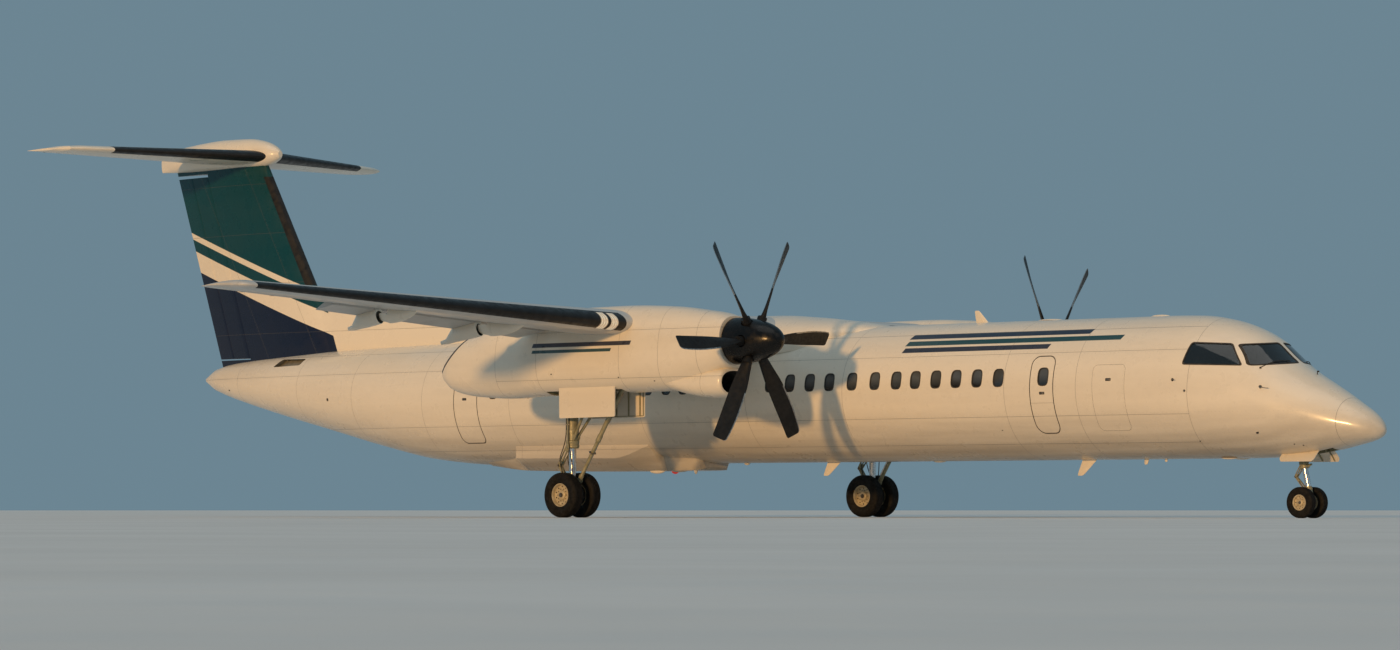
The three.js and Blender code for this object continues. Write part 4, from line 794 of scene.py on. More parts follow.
def build_windshield():
    pane, rim = deck_shell(0.008, 0.03), deck_shell(-0.0025, 0.012)
    for name, side in SIDES:
        front = ("windshield", FRONT_PANE, 0.05, along_x, side, 13.6, 15.0)
        flank = ("side", SIDE_PANE, 0.06, along_y, 1, 0.3 * side, 1.5 * side)
        seals = []
        for row, node in ((front, f"windshield_{name}"), (flank, f"side_window_{name}")):
            kind, outline, radius, place, sign, d0, d1 = row

            def line(grow, corner):
                return [(sign * u, v) for u, v in rounded(offset(outline, grow), corner)]

            glazing = carved(pane, [prism(line(-0.001, radius), place, d0, d1)], "INTERSECT")
            piece(f"{kind}_pane_{name}", glazing, [DECK_GLASS], replaces=[node])
            seals.append(carved(rim, [ring_prism(line(0.012, 0.06), line(-0.01, 0.05), place, d0, d1)], "INTERSECT"))
        piece(f"windshield_seal_{name}", joined(seals), [SEAL])


# Wing

WING_LE, WING_CHORD, WING_Z = 2.89, 2.75, 3.64
TIP_LE, TIP_CHORD, TIP_Z = 2.48, 1.22, 4.06
KINK, TIP_JOINT, TIP_Y = 4.95, 13.9, 14.21
CAMBER = 0.022
UP = Vector((0, 0, 1))
FLAP_NOSE = 0.7
AILERON_HINGE = 0.76
COVE_GAP = 0.014
FLAPS = (("inner", 1.5, 3.775), ("outer", 5.045, 10.9))
FLAP_DROP = 15  # degrees by which the flaps are let down at rest
AILERON = (10.99, 13.7)
FAIRINGS = (("inner", 2.6), ("outer", 6.95), ("outer", 9.7))
# The rounded tip. Columns: y, setback of the leading edge, share of the chord, share of the thickness.
WING_TIP = [(13.9, 0.0, 1.0, 1.0), (14.08, 0.025, 0.95, 0.85), (14.17, 0.11, 0.86, 0.6), (14.21, 0.24, 0.72, 0.28)]


def mixed(a, b, t):
    return a + (b - a) * t


def station(edge, chord, thick, camber=0.0, up=UP):
    """A section of a wing or tail surface, from its leading edge."""
    return {"edge": Vector(edge), "chord": chord, "up": up, "camber": camber, "thick": thick}


def wing_station(y):
    t = max(0.0, (y - KINK) / (TIP_Y - KINK))
    edge = (mixed(WING_LE, TIP_LE, t), y, mixed(WING_Z, TIP_Z, t))
    return station(edge, mixed(WING_CHORD, TIP_CHORD, t), mixed(0.18, 0.13, t), CAMBER)


def foil_half(thick, f):
    """Half thickness of the section at a share of the chord, with a blunt trailing edge."""
    root = 0.2969 * math.sqrt(f) - 0.126 * f - 0.3516 * f ** 2 + 0.2843 * f ** 3 - 0.1036 * f ** 4
    return 5 * thick * root + 0.0014 * f


def foil_point(s, f, offset_share):
    lift = s["chord"] * (4 * s["camber"] * f * (1 - f) + offset_share)
    return s["edge"] + Vector((-s["chord"] * f, 0, 0)) + s["up"] * lift


def surface(s, f, face=1):
    """A point of the skin at a share of the chord: face 1 is the upper one, -1 the lower one."""
    return foil_point(s, f, face * foil_half(s["thick"], f))


def foil_fractions(n=26):
    return [0.5 * (1 - math.cos(math.pi * i / n)) for i in range(n + 1)]


def foil_ring(s, fractions):
    return [surface(s, f) for f in fractions] + [surface(s, f, -1) for f in fractions[:0:-1]]


def ring_share(fractions, i):
    """The share of the chord at point i of a foil ring."""
    return fractions[i if i < len(fractions) else 2 * len(fractions) - 1 - i]


def hinge_at(s, fraction):
    return foil_point(s, fraction, 0), s["chord"] * foil_half(s["thick"], fraction)


def nose_arc(centre, radius, up):
    """The half circle in front of a hinge, from above to below."""
    steps = 14
    return [centre + Vector((radius * math.cos(t), 0, 0)) + up * radius * math.sin(t)
            for t in (math.pi / 2 - math.pi * i / steps for i in range(steps + 1))]


def surface_ring(s, fraction, n=8):
    """A section of a control surface behind its hinge."""
    shares = [mixed(fraction, 1, (i + 1) / n) for i in range(n)]
    return (nose_arc(*hinge_at(s, fraction), s["up"]) + [surface(s, f, -1) for f in shares]
            + [surface(s, f) for f in shares[::-1]])


def cove_ring(s, fraction):
    """A section of the cut that makes room for a control surface."""
    centre, radius = hinge_at(s, fraction)
    aft = s["chord"] * (1 - fraction) + 0.6
    behind = [centre + Vector((-b, 0, 0)) + s["up"] * h for b, h in ((0, -0.7), (aft, -0.7), (aft, 0.7), (0, 0.7))]
    return nose_arc(centre, radius + COVE_GAP, s["up"]) + behind


def span(y0, y1, pitch):
    """Even steps of about a pitch from y0 to y1."""
    n = max(1, round(abs(y1 - y0) / pitch))
    return [mixed(y0, y1, i / n) for i in range(n + 1)]


def flap_pivot(y):
    return foil_point(wing_station(y), FLAP_NOSE + 0.05, 0) + Vector((0, 0, -0.7))


def deployed(solid, y0, y1):
    axis = (flap_pivot(y1) - flap_pivot(y0)).normalized()
    return solid.turned(-FLAP_DROP, axis, flap_pivot(y0))


def flap_ring(y):
    s = wing_station(y)
    start = FLAP_NOSE + 0.022 / s["chord"]
    a, b, c = surface(s, start + 0.03, -1), foil_point(s, start - 0.012, 0), surface(s, start + 0.045)
    return ([bend(a, b, c, i / 10) for i in range(11)] + [surface(s, f) for f in np.linspace(start + 0.045, 1, 9)[1:]]
            + [surface(s, f, -1) for f in np.linspace(1, start + 0.03, 9)[:-1]])


# Flap track fairings. Columns: share of the chord, depth below the wing, half width.
FAIRING_ROWS = [
    (0.3, 0.0, 0.02), (0.37, 0.09, 0.064), (0.48, 0.18, 0.094), (0.62, 0.24, 0.104), (0.8, 0.262, 0.102),
    (0.97, 0.255, 0.086), (1.1, 0.225, 0.056), (1.17, 0.19, 0.018),
]
FAIRING_NECK = [
    (0.668, 0.25, 0.104), (0.682, 0.24, 0.068), (0.76, 0.225, 0.06), (0.795, 0.19, 0.045), (0.812, 0.15, 0.015),
]
FAIRING_HOLLOW = [(0.7, 0.248, 0.092), (0.8, 0.25, 0.09), (0.9, 0.235, 0.08)]
FLAP_SWEEP = 0.545  # radius about the flap's pivot that the fixed fairings keep clear


def fairing_body(y, rows, f0, f1, n=26, roof=0.06):
    """A cigar hung under the wing from share f0 to f1 of the chord; roof is how far it reaches into the wing."""
    s = wing_station(y)
    rings = []
    for f in np.linspace(f0, f1, n):
        _, drop, half = row_at(rows, f, as_is)
        low = surface(s, min(f, 1), -1).z
        bottom = low - drop
        top = low + roof if f <= 1 else low - mixed(-0.06, 0.12, min(1, (f - 1) / 0.1))
        rings.append(oval([s["edge"].x - s["chord"] * f, top, bottom, half, (top + bottom) / 2], y=y, count=24))
    return loft(rings)


def fixed_fairing(y):
    """The cigar under the wing, with a neck that stays clear of the sweeping flap."""
    rows = [row for row in FAIRING_ROWS if row[0] < 0.65] + FAIRING_NECK
    pivot = flap_pivot(y)
    arc = [(pivot.x + FLAP_SWEEP * math.sin(t), pivot.z + FLAP_SWEEP * math.cos(t))
           for t in np.linspace(0.36, -0.6, 20)]
    over = [(arc[-1][0], arc[-1][1] + 0.8), (arc[0][0], arc[-1][1] + 0.8)]
    return carved(fairing_body(y, rows, 0.3, 0.812, 40), [prism(arc + over, along_y, y - 0.2, y + 0.2)])


def moving_fairing(y):
    """The tail of the cigar, hollow in front, which goes with the flap."""
    return carved(fairing_body(y, FAIRING_ROWS, FLAP_NOSE + 0.035, 1.17).painted(1),
                  [fairing_body(y, FAIRING_HOLLOW, FLAP_NOSE, 0.9, 12, -0.012).painted(2)])


def wing_half():
    """The left half of the wing with its tip, before the bays are cut. Materials: 0 paint, 1 rubber boot."""
    fractions = foil_fractions()
    stations = [wing_station(y) for y in [0.0] + span(1.2, KINK, 0.6) + span(KINK + 0.1, TIP_JOINT, 0.6)]
    for i in range(1, 10):
        y = mixed(TIP_JOINT, TIP_Y, math.sin(math.pi / 2 * i / 9))
        _, back, part, thin = row_at(WING_TIP, y, as_is)
        s = wing_station(y)
        s["edge"].x -= back
        s["chord"] *= part
        s["thick"] *= thin
        stations.append(s)

    def mats(r, i):
        y = (stations[r]["edge"].y + stations[r + 1]["edge"].y) / 2
        return int(ring_share(fractions, i) < 0.075 and (5.0 < y < 13.9 or 1.3 < y < 3.75))

    return loft([foil_ring(s, fractions) for s in stations], mats=mats)


def build_wing():
    half = wing_half()
    cutters = []
    for name, y0, y1 in FLAPS:
        rings = []
        for y in (y0 - 0.012, y1 + (0.012 if name == "inner" else 0.048)):
            s = wing_station(y)
            bay = ((-0.04, -0.5), (0.04, 0.5), (s["chord"], 0.5), (s["chord"], -0.5))
            rings.append([foil_point(s, FLAP_NOSE, 0) + Vector((-b, 0, h)) for b, h in bay])
        cutters.append(loft(rings, 2))
    ends = (AILERON[0] - 0.012, AILERON[1] + 0.012)
    cutters.append(loft([cove_ring(wing_station(y), AILERON_HINGE) for y in ends], 2))
    half = carved(half, cutters)
    fronts = joined(fixed_fairing(y) for _, y in FAIRINGS)
    aileron = loft([surface_ring(wing_station(y), AILERON_HINGE) for y in span(*AILERON, 0.7)])
    for name, side in SIDES:
        nodes = [f"wing_outer_{name}"] + (["wing_centre"] if side == LEFT else [])
        piece(f"wing_{name}_skin", half.mirrored(side), [WING_PAINT, BOOT, COVE], replaces=nodes)
        piece(f"track_fairings_{name}", fronts.mirrored(side), [PLAIN_PAINT])
        body = f"aileron_{name}"
        piece(f"{body}_skin", aileron.mirrored(side), [WING_PAINT], body, [body])
        for flap, y0, y1 in FLAPS:
            tails = [moving_fairing(y) for owner, y in FAIRINGS if owner == flap]
            solid = deployed(joined([loft([flap_ring(y) for y in span(y0, y1, 0.7)])] + tails), y0, y1)
            body = f"flap_{flap}_{name}"
            piece(f"{body}_skin", solid.mirrored(side), [FLAP_PAINT, PLAIN_PAINT, COVE], body, [body])


# Nacelles, spinners and propellers

NACELLE_Y = 4.4
NACELLE_POWER = 2.4  # exponent of its squarish sections
# Columns: x, top z, bottom z, half width, z of the widest line.
NACELLE = [
    (5.06, 3.735, 2.82, 0.46, 3.275), (4.86, 3.8, 2.69, 0.51, 3.22), (4.4, 3.87, 2.5, 0.555, 3.1),
    (3.6, 3.96, 2.38, 0.59, 3.0), (2.4, 4.01, 2.36, 0.605, 2.95), (0.0, 3.96, 2.33, 0.59, 2.95),
    (-0.71, 3.86, 2.3, 0.565, 2.94), (-1.67, 3.57, 2.35, 0.5, 2.9), (-2.06, 3.54, 2.41, 0.455, 2.88),
    (-2.3, 3.5, 2.49, 0.41, 2.88), (-2.39, 3.45, 2.57, 0.37, 2.88),
]
INTAKE = [
    (5.02, 2.74, 2.275, 0.345, 2.505), (5.01, 2.76, 2.255, 0.37, 2.505), (4.94, 2.79, 2.235, 0.405, 2.505),
    (4.6, 2.8, 2.225, 0.43, 2.505), (4.1, 2.8, 2.28, 0.43, 2.52), (3.5, 2.79, 2.42, 0.4, 2.6),
]
INTAKE_Z, EXHAUST_Z = 2.507, 3.15
# The plane of the slanted exhaust, by two points of x and z, and its unit normal.
SLANT_TOP, SLANT_FOOT, SLANT_NORMAL = Vector((-1.67, 3.56)), Vector((-2.39, 2.86)), (0.697, -0.717)
PROP = Vector((5.53, 0, 3.27))
SPINNER_BACK, SPINNER_TIP, SPINNER_RADIUS = 5.08, 6.2, 0.432
PROP_PHASE = {"right": 33, "left": 25}  # degrees
# Columns: radius, chord, thickness, pitch in degrees, sweep.
BLADE_ROWS = [
    (0.43, 0.19, 0.12, 62, 0.0), (0.64, 0.235, 0.066, 55, 0.004), (1.0, 0.3, 0.044, 46, 0.012),
    (1.45, 0.32, 0.03, 37, 0.01), (1.85, 0.3, 0.02, 31, -0.008), (2.02, 0.275, 0.014, 29, -0.026),
    (2.055, 0.215, 0.011, 29, -0.034),
]


def nacelle_half(x, z):
    """Half width of the nacelle at a place and height."""
    _, top, bottom, half, middle = row_at(NACELLE, x)
    reach = top - middle if z > middle else middle - bottom
    return half * (1 - min(1.0, abs(z - middle) / reach) ** NACELLE_POWER) ** (1 / NACELLE_POWER)


def nacelle_loft(xs, table=NACELLE, inset=0.0, mat=0):
    return loft([oval(row_at(table, x), NACELLE_POWER, NACELLE_Y, 72, inset) for x in xs], mat)


def duct(places, z, height, width, exponent, mat):
    """A pipe through the nacelle. Columns of places: x, scale of its section."""
    return loft([oval([x, z + height * k, z - height * k, width * k, z], exponent, NACELLE_Y, 48)
                 for x, k in places], mat)


def build_nacelles():
    body = nacelle_loft(span(5.06, -2.39, 0.12))
    body = carved(body, [nacelle_loft([5.02, 5.01, 4.98] + span(4.94, 3.5, 0.12), INTAKE)], "UNION")
    run = SLANT_FOOT - SLANT_TOP
    above, below = SLANT_TOP - run * 1.2, SLANT_FOOT + run * 1.2
    behind = [tuple(above), tuple(below), (below.x - 2, below.y), (above.x - 2, above.y + 0.8)]
    slant = prism(behind, along_y, 3.0, 6.0, 1)
    mouth = prism([(x + 0.2 * SLANT_NORMAL[0], z + 0.2 * SLANT_NORMAL[1]) for x, z in behind], along_y, 3.0, 6.0, 1)
    # The intake duct's walls take material 2, near-black painted shade.
    intake = duct(((5.2, 1.06), (5.02, 1.05), (4.97, 1.0), (4.15, 0.96)), INTAKE_Z, 0.205, 0.33, 2.2, 2)
    exhaust, nozzle = (duct(((-2.6, 1), (-0.65, 1)), EXHAUST_Z, height, width, 2.0, 3)
                       for height, width in ((0.3, 0.265), (0.328, 0.293)))
    inner = nacelle_loft(span(-1.0, -2.39, 0.12), inset=0.05, mat=1)
    recess = carved(carved(inner, [mouth], "INTERSECT"), [nozzle])
    bay = prism(rectangle(0.45, 2.46, 2.0, 3.04, 0.02), along_y, NACELLE_Y - 0.33, NACELLE_Y + 0.33, 4)
    body = carved(carved(body, [slant, intake, bay]), [recess, exhaust])
    for name, side in SIDES:
        piece(f"nacelle_{name}_skin", body.mirrored(side), [NACELLE_PAINT, STEEL, CAVITY_SHADE, STEEL, BAY],
              replaces=[f"nacelle_{name}"])


def blade_ring(radius):
    r, chord, thick, pitch, sweep = row_at(BLADE_ROWS, radius, as_is)
    c, s = math.cos(math.radians(pitch)), math.sin(math.radians(pitch))
    shares = foil_fractions(12)
    ring = []
    for f, face in [(f, 1) for f in shares] + [(f, -1) for f in shares[:1:-1]]:
        along, across = (0.5 - f) * chord + sweep, face * foil_half(1.0, f) / 0.5 * thick / 2
        ring.append(Vector((along * s - across * c, -along * c - across * s, r)))
    return ring


def six(solid):
    """Six copies round the x axis."""
    return joined(solid.turned(60 * i, (1, 0, 0)) for i in range(6))


def build_propellers():
    shares = foil_fractions(12)

    def mats(r, i):
        return int(shares[i if i < 13 else 24 - i] < 0.05 and r > 8)

    radii = list(np.linspace(0.43, 2.0, 24)) + [2.02, 2.035, 2.047, 2.055]
    root = rod((0, 0, 0.12), (0, 0, 0.48), 0.092, n=32)
    blades = six(loft([blade_ring(r) for r in radii], mats=mats) + root)
    hub = rod((5.1104 - PROP.x, 0, 0), (0.26, 0, 0), 0.205, n=40)
    length, back = SPINNER_TIP - SPINNER_BACK, SPINNER_BACK - PROP.x
    profile = [(0.0, 0.0), (0.0, SPINNER_RADIUS - 0.006), (0.006, SPINNER_RADIUS)]
    profile += [(length * math.sin(t), SPINNER_RADIUS * math.cos(t) ** 0.92)
                for t in np.linspace(0.06, math.pi / 2 - 0.02, 26)]
    cone = turned_profile(profile + [(length, 0.0)], (back, 0, 0), (1, 0, 0), 96)
    hollow = [(0.03, 0.0), (0.03, SPINNER_RADIUS - 0.03), (0.55, 0.36), (0.95, 0.12), (1.0, 0.0)]
    holes = six(rod((0, 0, 0.25), (0, 0, 0.6), 0.112, n=32))
    cone = carved(cone, [turned_profile(hollow, (back, 0, 0), (1, 0, 0)), holes])
    for name, side in SIDES:
        turn = Matrix.Rotation(math.radians(PROP_PHASE[name]), 4, "X")
        place = Matrix.Translation((PROP.x, side * NACELLE_Y, PROP.z)) @ turn
        body = f"propeller_{name}"
        piece(f"spinner_{name}_skin", cone.moved(place), [SPINNER], body, [f"spinner_{name}"],
              angle=40)
        piece(f"{body}_blades", (blades + hub).moved(place), [BLADE, BLADE_EDGE], body, [body])


# Tail

# Columns of the ends of the fin: z, leading edge x, trailing edge x, thickness ratio.
FIN_FOOT = (3.2, -10.215, -14.294, 0.125)
FIN_HEAD = (7.76, -12.898, -15.93, 0.115)
RUDDER = (3.475, 7.54)
RUDDER_CHORDS = (1.08, 0.49)
DORSAL = [
    (-4.65, 3.69, 3.42, 0.015, 3.45), (-6.78, 4.01, 3.3, 0.07, 3.4), (-9.0, 4.37, 3.3, 0.12, 3.4),
    (-11.3, 4.745, 3.3, 0.165, 3.4), (-11.7, 4.5, 3.3, 0.15, 3.4),
]
# Columns: y, leading edge x, trailing edge x, thickness ratio.
TAILPLANE = [
    (0.0, -12.65, -15.4, 0.12), (4.25, -13.96, -15.45, 0.11), (4.52, -14.12, -15.455, 0.09),
    (4.635, -14.56, -15.465, 0.05),
]
TAIL_Z = 7.9
# Places of the control surfaces along their hinges, and the x of the elevator hinge.
ELEVATOR = (0.43, 4.18)
ELEVATOR_X = -14.73
BULLET = [
    (-12.47, 8.01, 7.87, 0.06, 7.94), (-12.6, 8.11, 7.79, 0.165, 7.93), (-12.9, 8.235, 7.7, 0.26, 7.92),
    (-13.45, 8.325, 7.66, 0.325, 7.91), (-14.3, 8.34, 7.655, 0.34, 7.9), (-15.05, 8.3, 7.665, 0.3, 7.9),
    (-15.75, 8.235, 7.69, 0.205, 7.91), (-16.415, 8.15, 7.72, 0.04, 7.93),
]


def fin_station(z):
    t = (z - FIN_FOOT[0]) / (FIN_HEAD[0] - FIN_FOOT[0])
    le, te, thick = (mixed(FIN_FOOT[k], FIN_HEAD[k], t) for k in (1, 2, 3))
    return station((le, 0, z), le - te, thick, up=Vector((0, 1, 0)))


def rudder_rings(ring, chord, heights, *count):
    """Sections behind or round a hinge that lies a chord in front of the trailing edge of the fin."""
    return [ring(fin_station(z), 1 - chord / fin_station(z)["chord"], *count) for z in heights]


def elevator_loft(ring, places, mat=0):
    """A skin through sections of the left elevator or of the cut round it."""
    stations = [tail_station(y) for y in places]
    return loft([ring(s, (s["edge"].x - ELEVATOR_X) / s["chord"]) for s in stations], mat)


def tail_station(y):
    k = next((i for i in range(1, len(TAILPLANE)) if TAILPLANE[i][0] >= abs(y)), len(TAILPLANE) - 1)
    a, b = TAILPLANE[k - 1], TAILPLANE[k]
    le, te, thick = (mixed(a[c], b[c], (abs(y) - a[0]) / (b[0] - a[0])) for c in (1, 2, 3))
    return station((le, y, TAIL_Z), le - te, thick)


def build_fin():
    fractions = foil_fractions()
    heights = span(FIN_FOOT[0], FIN_HEAD[0], 0.3)

    def mats(r, i):
        return int(ring_share(fractions, i) < 0.085 and heights[r] > 4.85 and heights[r + 1] < 7.5)

    fin = loft([foil_ring(fin_station(z), fractions) for z in heights], mats=mats)
    dorsal = loft([oval(row_at(DORSAL, x), 1.6, 0, 40) for x in span(-4.65, -11.3, 0.35) + [-11.5, -11.7]])
    low, high = RUDDER
    fore, aft = RUDDER_CHORDS
    cove = loft(rudder_rings(cove_ring, fore, (low - 0.03, high + 0.07)))
    fin = carved(carved(fin, [dorsal], "UNION"), [cove])
    piece("fin_skin", fin, [TAIL_PAINT, BOOT, COVE], replaces=["fin"])
    whole = loft(rudder_rings(surface_ring, fore, span(*RUDDER, 0.5), 10))
    gap = loft(rudder_rings(cove_ring, aft, (low - 0.05, high + 0.05)))
    trailing = loft(rudder_rings(surface_ring, aft, span(*RUDDER, 0.5)))
    for name, solid, paints in (("rudder_fore", carved(whole, [gap]), [TAIL_PAINT, BOOT, COVE]),
                                ("rudder_trailing", trailing, [TAIL_PAINT])):
        piece(f"{name}_skin", solid, paints, name, [name])


def build_tailplane():
    fractions = foil_fractions()
    ys = [0.0] + span(0.4, 3.6, 0.4) + [3.9, 4.25, 4.33, 4.41, 4.48, 4.52, 4.56, 4.59, 4.615, 4.635]
    ys = [-y for y in ys[:0:-1]] + ys

    def mats(r, i):
        return int(ring_share(fractions, i) < 0.1 and abs(ys[r] + ys[r + 1]) / 2 < 3.6)

    plane = loft([foil_ring(tail_station(y), fractions) for y in ys], mats=mats)
    cove = elevator_loft(cove_ring, (ELEVATOR[0] - 0.012, ELEVATOR[1] + 0.012), 2)
    plane = carved(plane, [cove.mirrored(side) for _, side in SIDES])
    places = [-12.47, -12.5, -12.55] + span(-12.6, -16.3, 0.15) + [-16.36, -16.4, -16.415]
    bullet = loft([oval(row_at(BULLET, x), count=56) for x in places])
    piece("tailplane_skin", plane, [PLAIN_PAINT, BOOT, COVE], replaces=["tailplane"])
    piece("tail_bullet", bullet, [PLAIN_PAINT])
    elevator = elevator_loft(surface_ring, span(*ELEVATOR, 0.5))
    for name, side in SIDES:
        body = f"elevator_{name}"
        piece(f"{body}_skin", elevator.mirrored(side), [PLAIN_PAINT], body, [body])


# Fairings under and over the cabin

# Columns: x, bottom z, half width of the flat bottom, chine y, drop of the chine below the skin.
BELLY = [
    (0.52, 0.99, 0.3, 0.42, -0.01), (0.45, 0.94, 0.38, 0.5, -0.01), (-0.36, 0.925, 0.48, 0.6, -0.01),
    (-0.46, 0.925, 0.48, 0.94, 0.02), (-1.4, 0.925, 0.5, 0.95, 0.27), (-2.4, 0.925, 0.5, 0.95, 0.263),
    (-4.18, 0.95, 0.5, 0.95, 0.25), (-4.3, 0.953, 0.47, 0.72, -0.01), (-5.6, 1.06, 0.2, 0.4, -0.01),
]
# Columns: x, top z, half width of the foot, z of the foot.
SADDLE = [
    (5.2, 3.665, 0.3, 3.56), (4.3, 3.79, 0.76, 3.38), (3.2, 3.905, 1.08, 3.18), (2.3, 3.96, 1.13, 3.12),
    (0.9, 3.96, 1.13, 3.12), (-0.3, 3.88, 1.04, 3.21), (-1.5, 3.76, 0.76, 3.4), (-2.6, 3.665, 0.3, 3.58),
]


def build_fairings():
    rings = []
    for x in ([0.52, 0.49, 0.45] + span(0.3, -0.36, 0.16) + [-0.39, -0.42, -0.46] + span(-0.6, -4.18, 0.2)
              + [-4.22, -4.26, -4.3] + span(-4.5, -5.6, 0.2)):
        _, low, pan, chine, drop = row_at(BELLY, x)
        _, _, bottom, wide, middle = fuselage_row(x)
        z = middle - (middle - bottom) * math.sqrt(1 - (chine / wide) ** 2) - drop
        half = [(0.0, low), (pan * 0.5, low), (pan, low), (mixed(pan, chine, 0.06), mixed(low, z, 0.02)),
                (mixed(pan, chine, 0.5), mixed(low, z, 0.46)), (chine, z), (chine, z + 0.012),
                (chine * 0.995, z + 0.33), (chine * 0.8, z + 0.36)]
        rings.append([Vector((x, y, v)) for y, v in half] + [Vector((x, -y, v)) for y, v in half[:0:-1]])
    piece("belly_fairing_skin", loft(rings), [BODY_PAINT], replaces=["belly_fairing"], angle=28)
    rings = []
    for x in span(5.2, -2.6, 0.2):
        _, top, foot, z = row_at(SADDLE, x)
        rings.append([Vector((x, foot * math.cos(t), z + (top - z) * max(0.0, math.sin(t)) ** 0.7))
                      for t in (math.pi * i / 32 for i in range(33))])
    piece("wing_root_fairing_skin", loft(rings), [BODY_PAINT], replaces=["wing_root_fairing"],
          angle=40)


# Landing gear

# The axles stand so high that the flats of the solid tyres, of 28 and 24 sides, lie on the ground.
MAIN_X, MAIN_R, MAIN_W, MAIN_RIM, MAIN_SPACING = 0.83, 0.432, 0.254, 0.222, 0.49
MAIN_Z = MAIN_R * math.cos(math.pi / 28)
NOSE_X, NOSE_R, NOSE_W, NOSE_RIM, NOSE_SPACING = 14.77, 0.2795, 0.165, 0.14, 0.37
NOSE_Z = NOSE_R * math.cos(math.pi / 24)
NOSE_RAKE, NOSE_TRAIL = math.radians(13), 0.095


def tyre(x, y, z, radius, width, rim):
    """A tyre with four grooves, which touches the ground below its axle at height z."""
    half = width / 2
    wall = [(0.76, rim + 0.001), (0.86, rim + 0.012)]
    wall += [(a, mixed(rim, z, t)) for a, t in ((0.97, 0.35), (1, 0.52), (0.985, 0.68), (0.9, 0.86), (0.74, 0.965))]
    line = [(-half * a, b) for a, b in wall + [(0.66, z - 0.004)]]
    grooves = []
    w, d = half * 0.045, radius * 0.022
    for g in (-0.45, -0.15, 0.15, 0.45):
        grooves += [(half * g - w, z), (half * g - w * 0.8, z - d), (half * g + w * 0.8, z - d), (half * g + w, z)]
    profile = line + [(-half * 0.58, z)] + grooves + [(half * 0.58, z)] + [(-a, b) for a, b in line[::-1]]
    return turned_profile(profile, (x, y, z), (0, 1, 0), 72, loop=True)


def wheel(x, y, z, width, rim, s, bolts, holes):
    """A rim with its flange, dished web, hub cap, bolts and cooling holes; s is the side of its face."""
    half = width * 0.38
    profile = [(-0.1, 0.0), (-0.1, rim * 0.62), (-0.5, rim * 0.82), (-0.86, rim - 0.03), (-1, rim - 0.012),
               (-1, rim + 0.006), (-0.86, rim + 0.006), (-0.8, rim - 0.006), (0.8, rim - 0.006), (0.86, rim + 0.006),
               (1, rim + 0.006), (1, rim - 0.012), (0.86, rim - 0.022), (0.42, rim * 0.84), (0.3, rim * 0.62),
               (0.36, rim * 0.44), (0.62, rim * 0.4), (0.7, rim * 0.34), (0.72, 0.0)]
    body = turned_profile([(s * (half * a), b) for a, b in profile], (x, y, z), (0, 1, 0), 64)

    def stud(t, share, y0, y1, *sizes):
        cx, cz = x + math.cos(t) * rim * share, z + math.sin(t) * rim * share
        return rod((cx, y + s * half * y0, cz), (cx, y + s * half * y1, cz), *sizes)

    parts = [stud(0, 0, 0.7, 0.98, rim * 0.2, rim * 0.17, 32, 1, 0.004)]
    parts += [stud(t, 0.53, 0.28, 0.5, rim * 0.035, None, 6, 1) for t in angles(bolts)]
    turns = [2 * math.pi * (i + 0.5) / holes for i in range(holes)]
    # The walls of the cooling holes take material 2, near-black painted shade on the rims.
    cuts = joined(stud(t, 0.73, 0.1, 0.8, rim * 0.062, None, 14, 2) for t in turns)
    return carved(body, [cuts]) + joined(parts)


def build_wheels():
    for name, side in SIDES:
        y = side * NACELLE_Y
        rims, brakes, tyres, body = [], [], [], f"main_wheels_{name}"
        for part, s in SIDES:
            place = (MAIN_X, y + s * MAIN_SPACING / 2, MAIN_Z)
            rims.append(wheel(*place, MAIN_W, MAIN_RIM, s, 10, 10))
            brakes.append(rod((MAIN_X, y + s * 0.13, MAIN_Z), (MAIN_X, y + s * 0.235, MAIN_Z), 0.165, n=40, mat=1))
            tyres.append((f"main_{name}_tyre_{part}", tyre(*place, MAIN_R, MAIN_W, MAIN_RIM)))
        axle = rod((MAIN_X, y - 0.2, MAIN_Z), (MAIN_X, y + 0.2, MAIN_Z), 0.048, mat=1)
        piece(f"main_{name}_rims", joined(rims + [axle] + brakes), [RIM, BRAKE, CAVITY_SHADE], body, [f"main_{name}_wheels"],
              bevel=0.0015)
        for node, solid in tyres:
            piece(f"{node}_rubber", solid, [TYRE], body, [node], angle=40)
    rims = []
    for part, s in SIDES:
        place = (NOSE_X, s * NOSE_SPACING / 2, NOSE_Z)
        rims.append(wheel(*place, NOSE_W, NOSE_RIM, s, 8, 9))
        piece(f"nose_tyre_{part}_rubber", tyre(*place, NOSE_R, NOSE_W, NOSE_RIM), [TYRE], "nose_wheels",
              [f"nose_tyre_{part}"], angle=40)
    axle = rod((NOSE_X, -0.16, NOSE_Z), (NOSE_X, 0.16, NOSE_Z), 0.032, mat=1)
    piece("nose_rims", joined(rims + [axle]), [RIM, BRAKE, CAVITY_SHADE], "nose_wheels", ["nose_wheels"],
          bevel=0.0012)


def capsule(a, b, ra, rb):
    """The outline round two circles."""
    n = 9
    turn = math.atan2(b[1] - a[1], b[0] - a[0])
    points = []
    for centre, r, start in ((b, rb, turn - math.pi / 2), (a, ra, turn + math.pi / 2)):
        points += [(centre[0] + r * math.cos(t), centre[1] + r * math.sin(t))
                   for t in (start + math.pi * i / n for i in range(n + 1))]
    return points


def arm(a, b, ra, rb, y0, y1, hole=0.0):
    """A flat link between two pins, with a lightening hole of a share of its width."""
    outer = capsule(a, b, ra, rb)
    if not hole:
        return prism(outer, along_y, y0, y1)
    p, q = Vector(a).lerp(Vector(b), 0.27), Vector(a).lerp(Vector(b), 0.73)
    return ring_prism(outer, capsule(p, q, ra * hole, rb * hole), along_y, y0, y1)


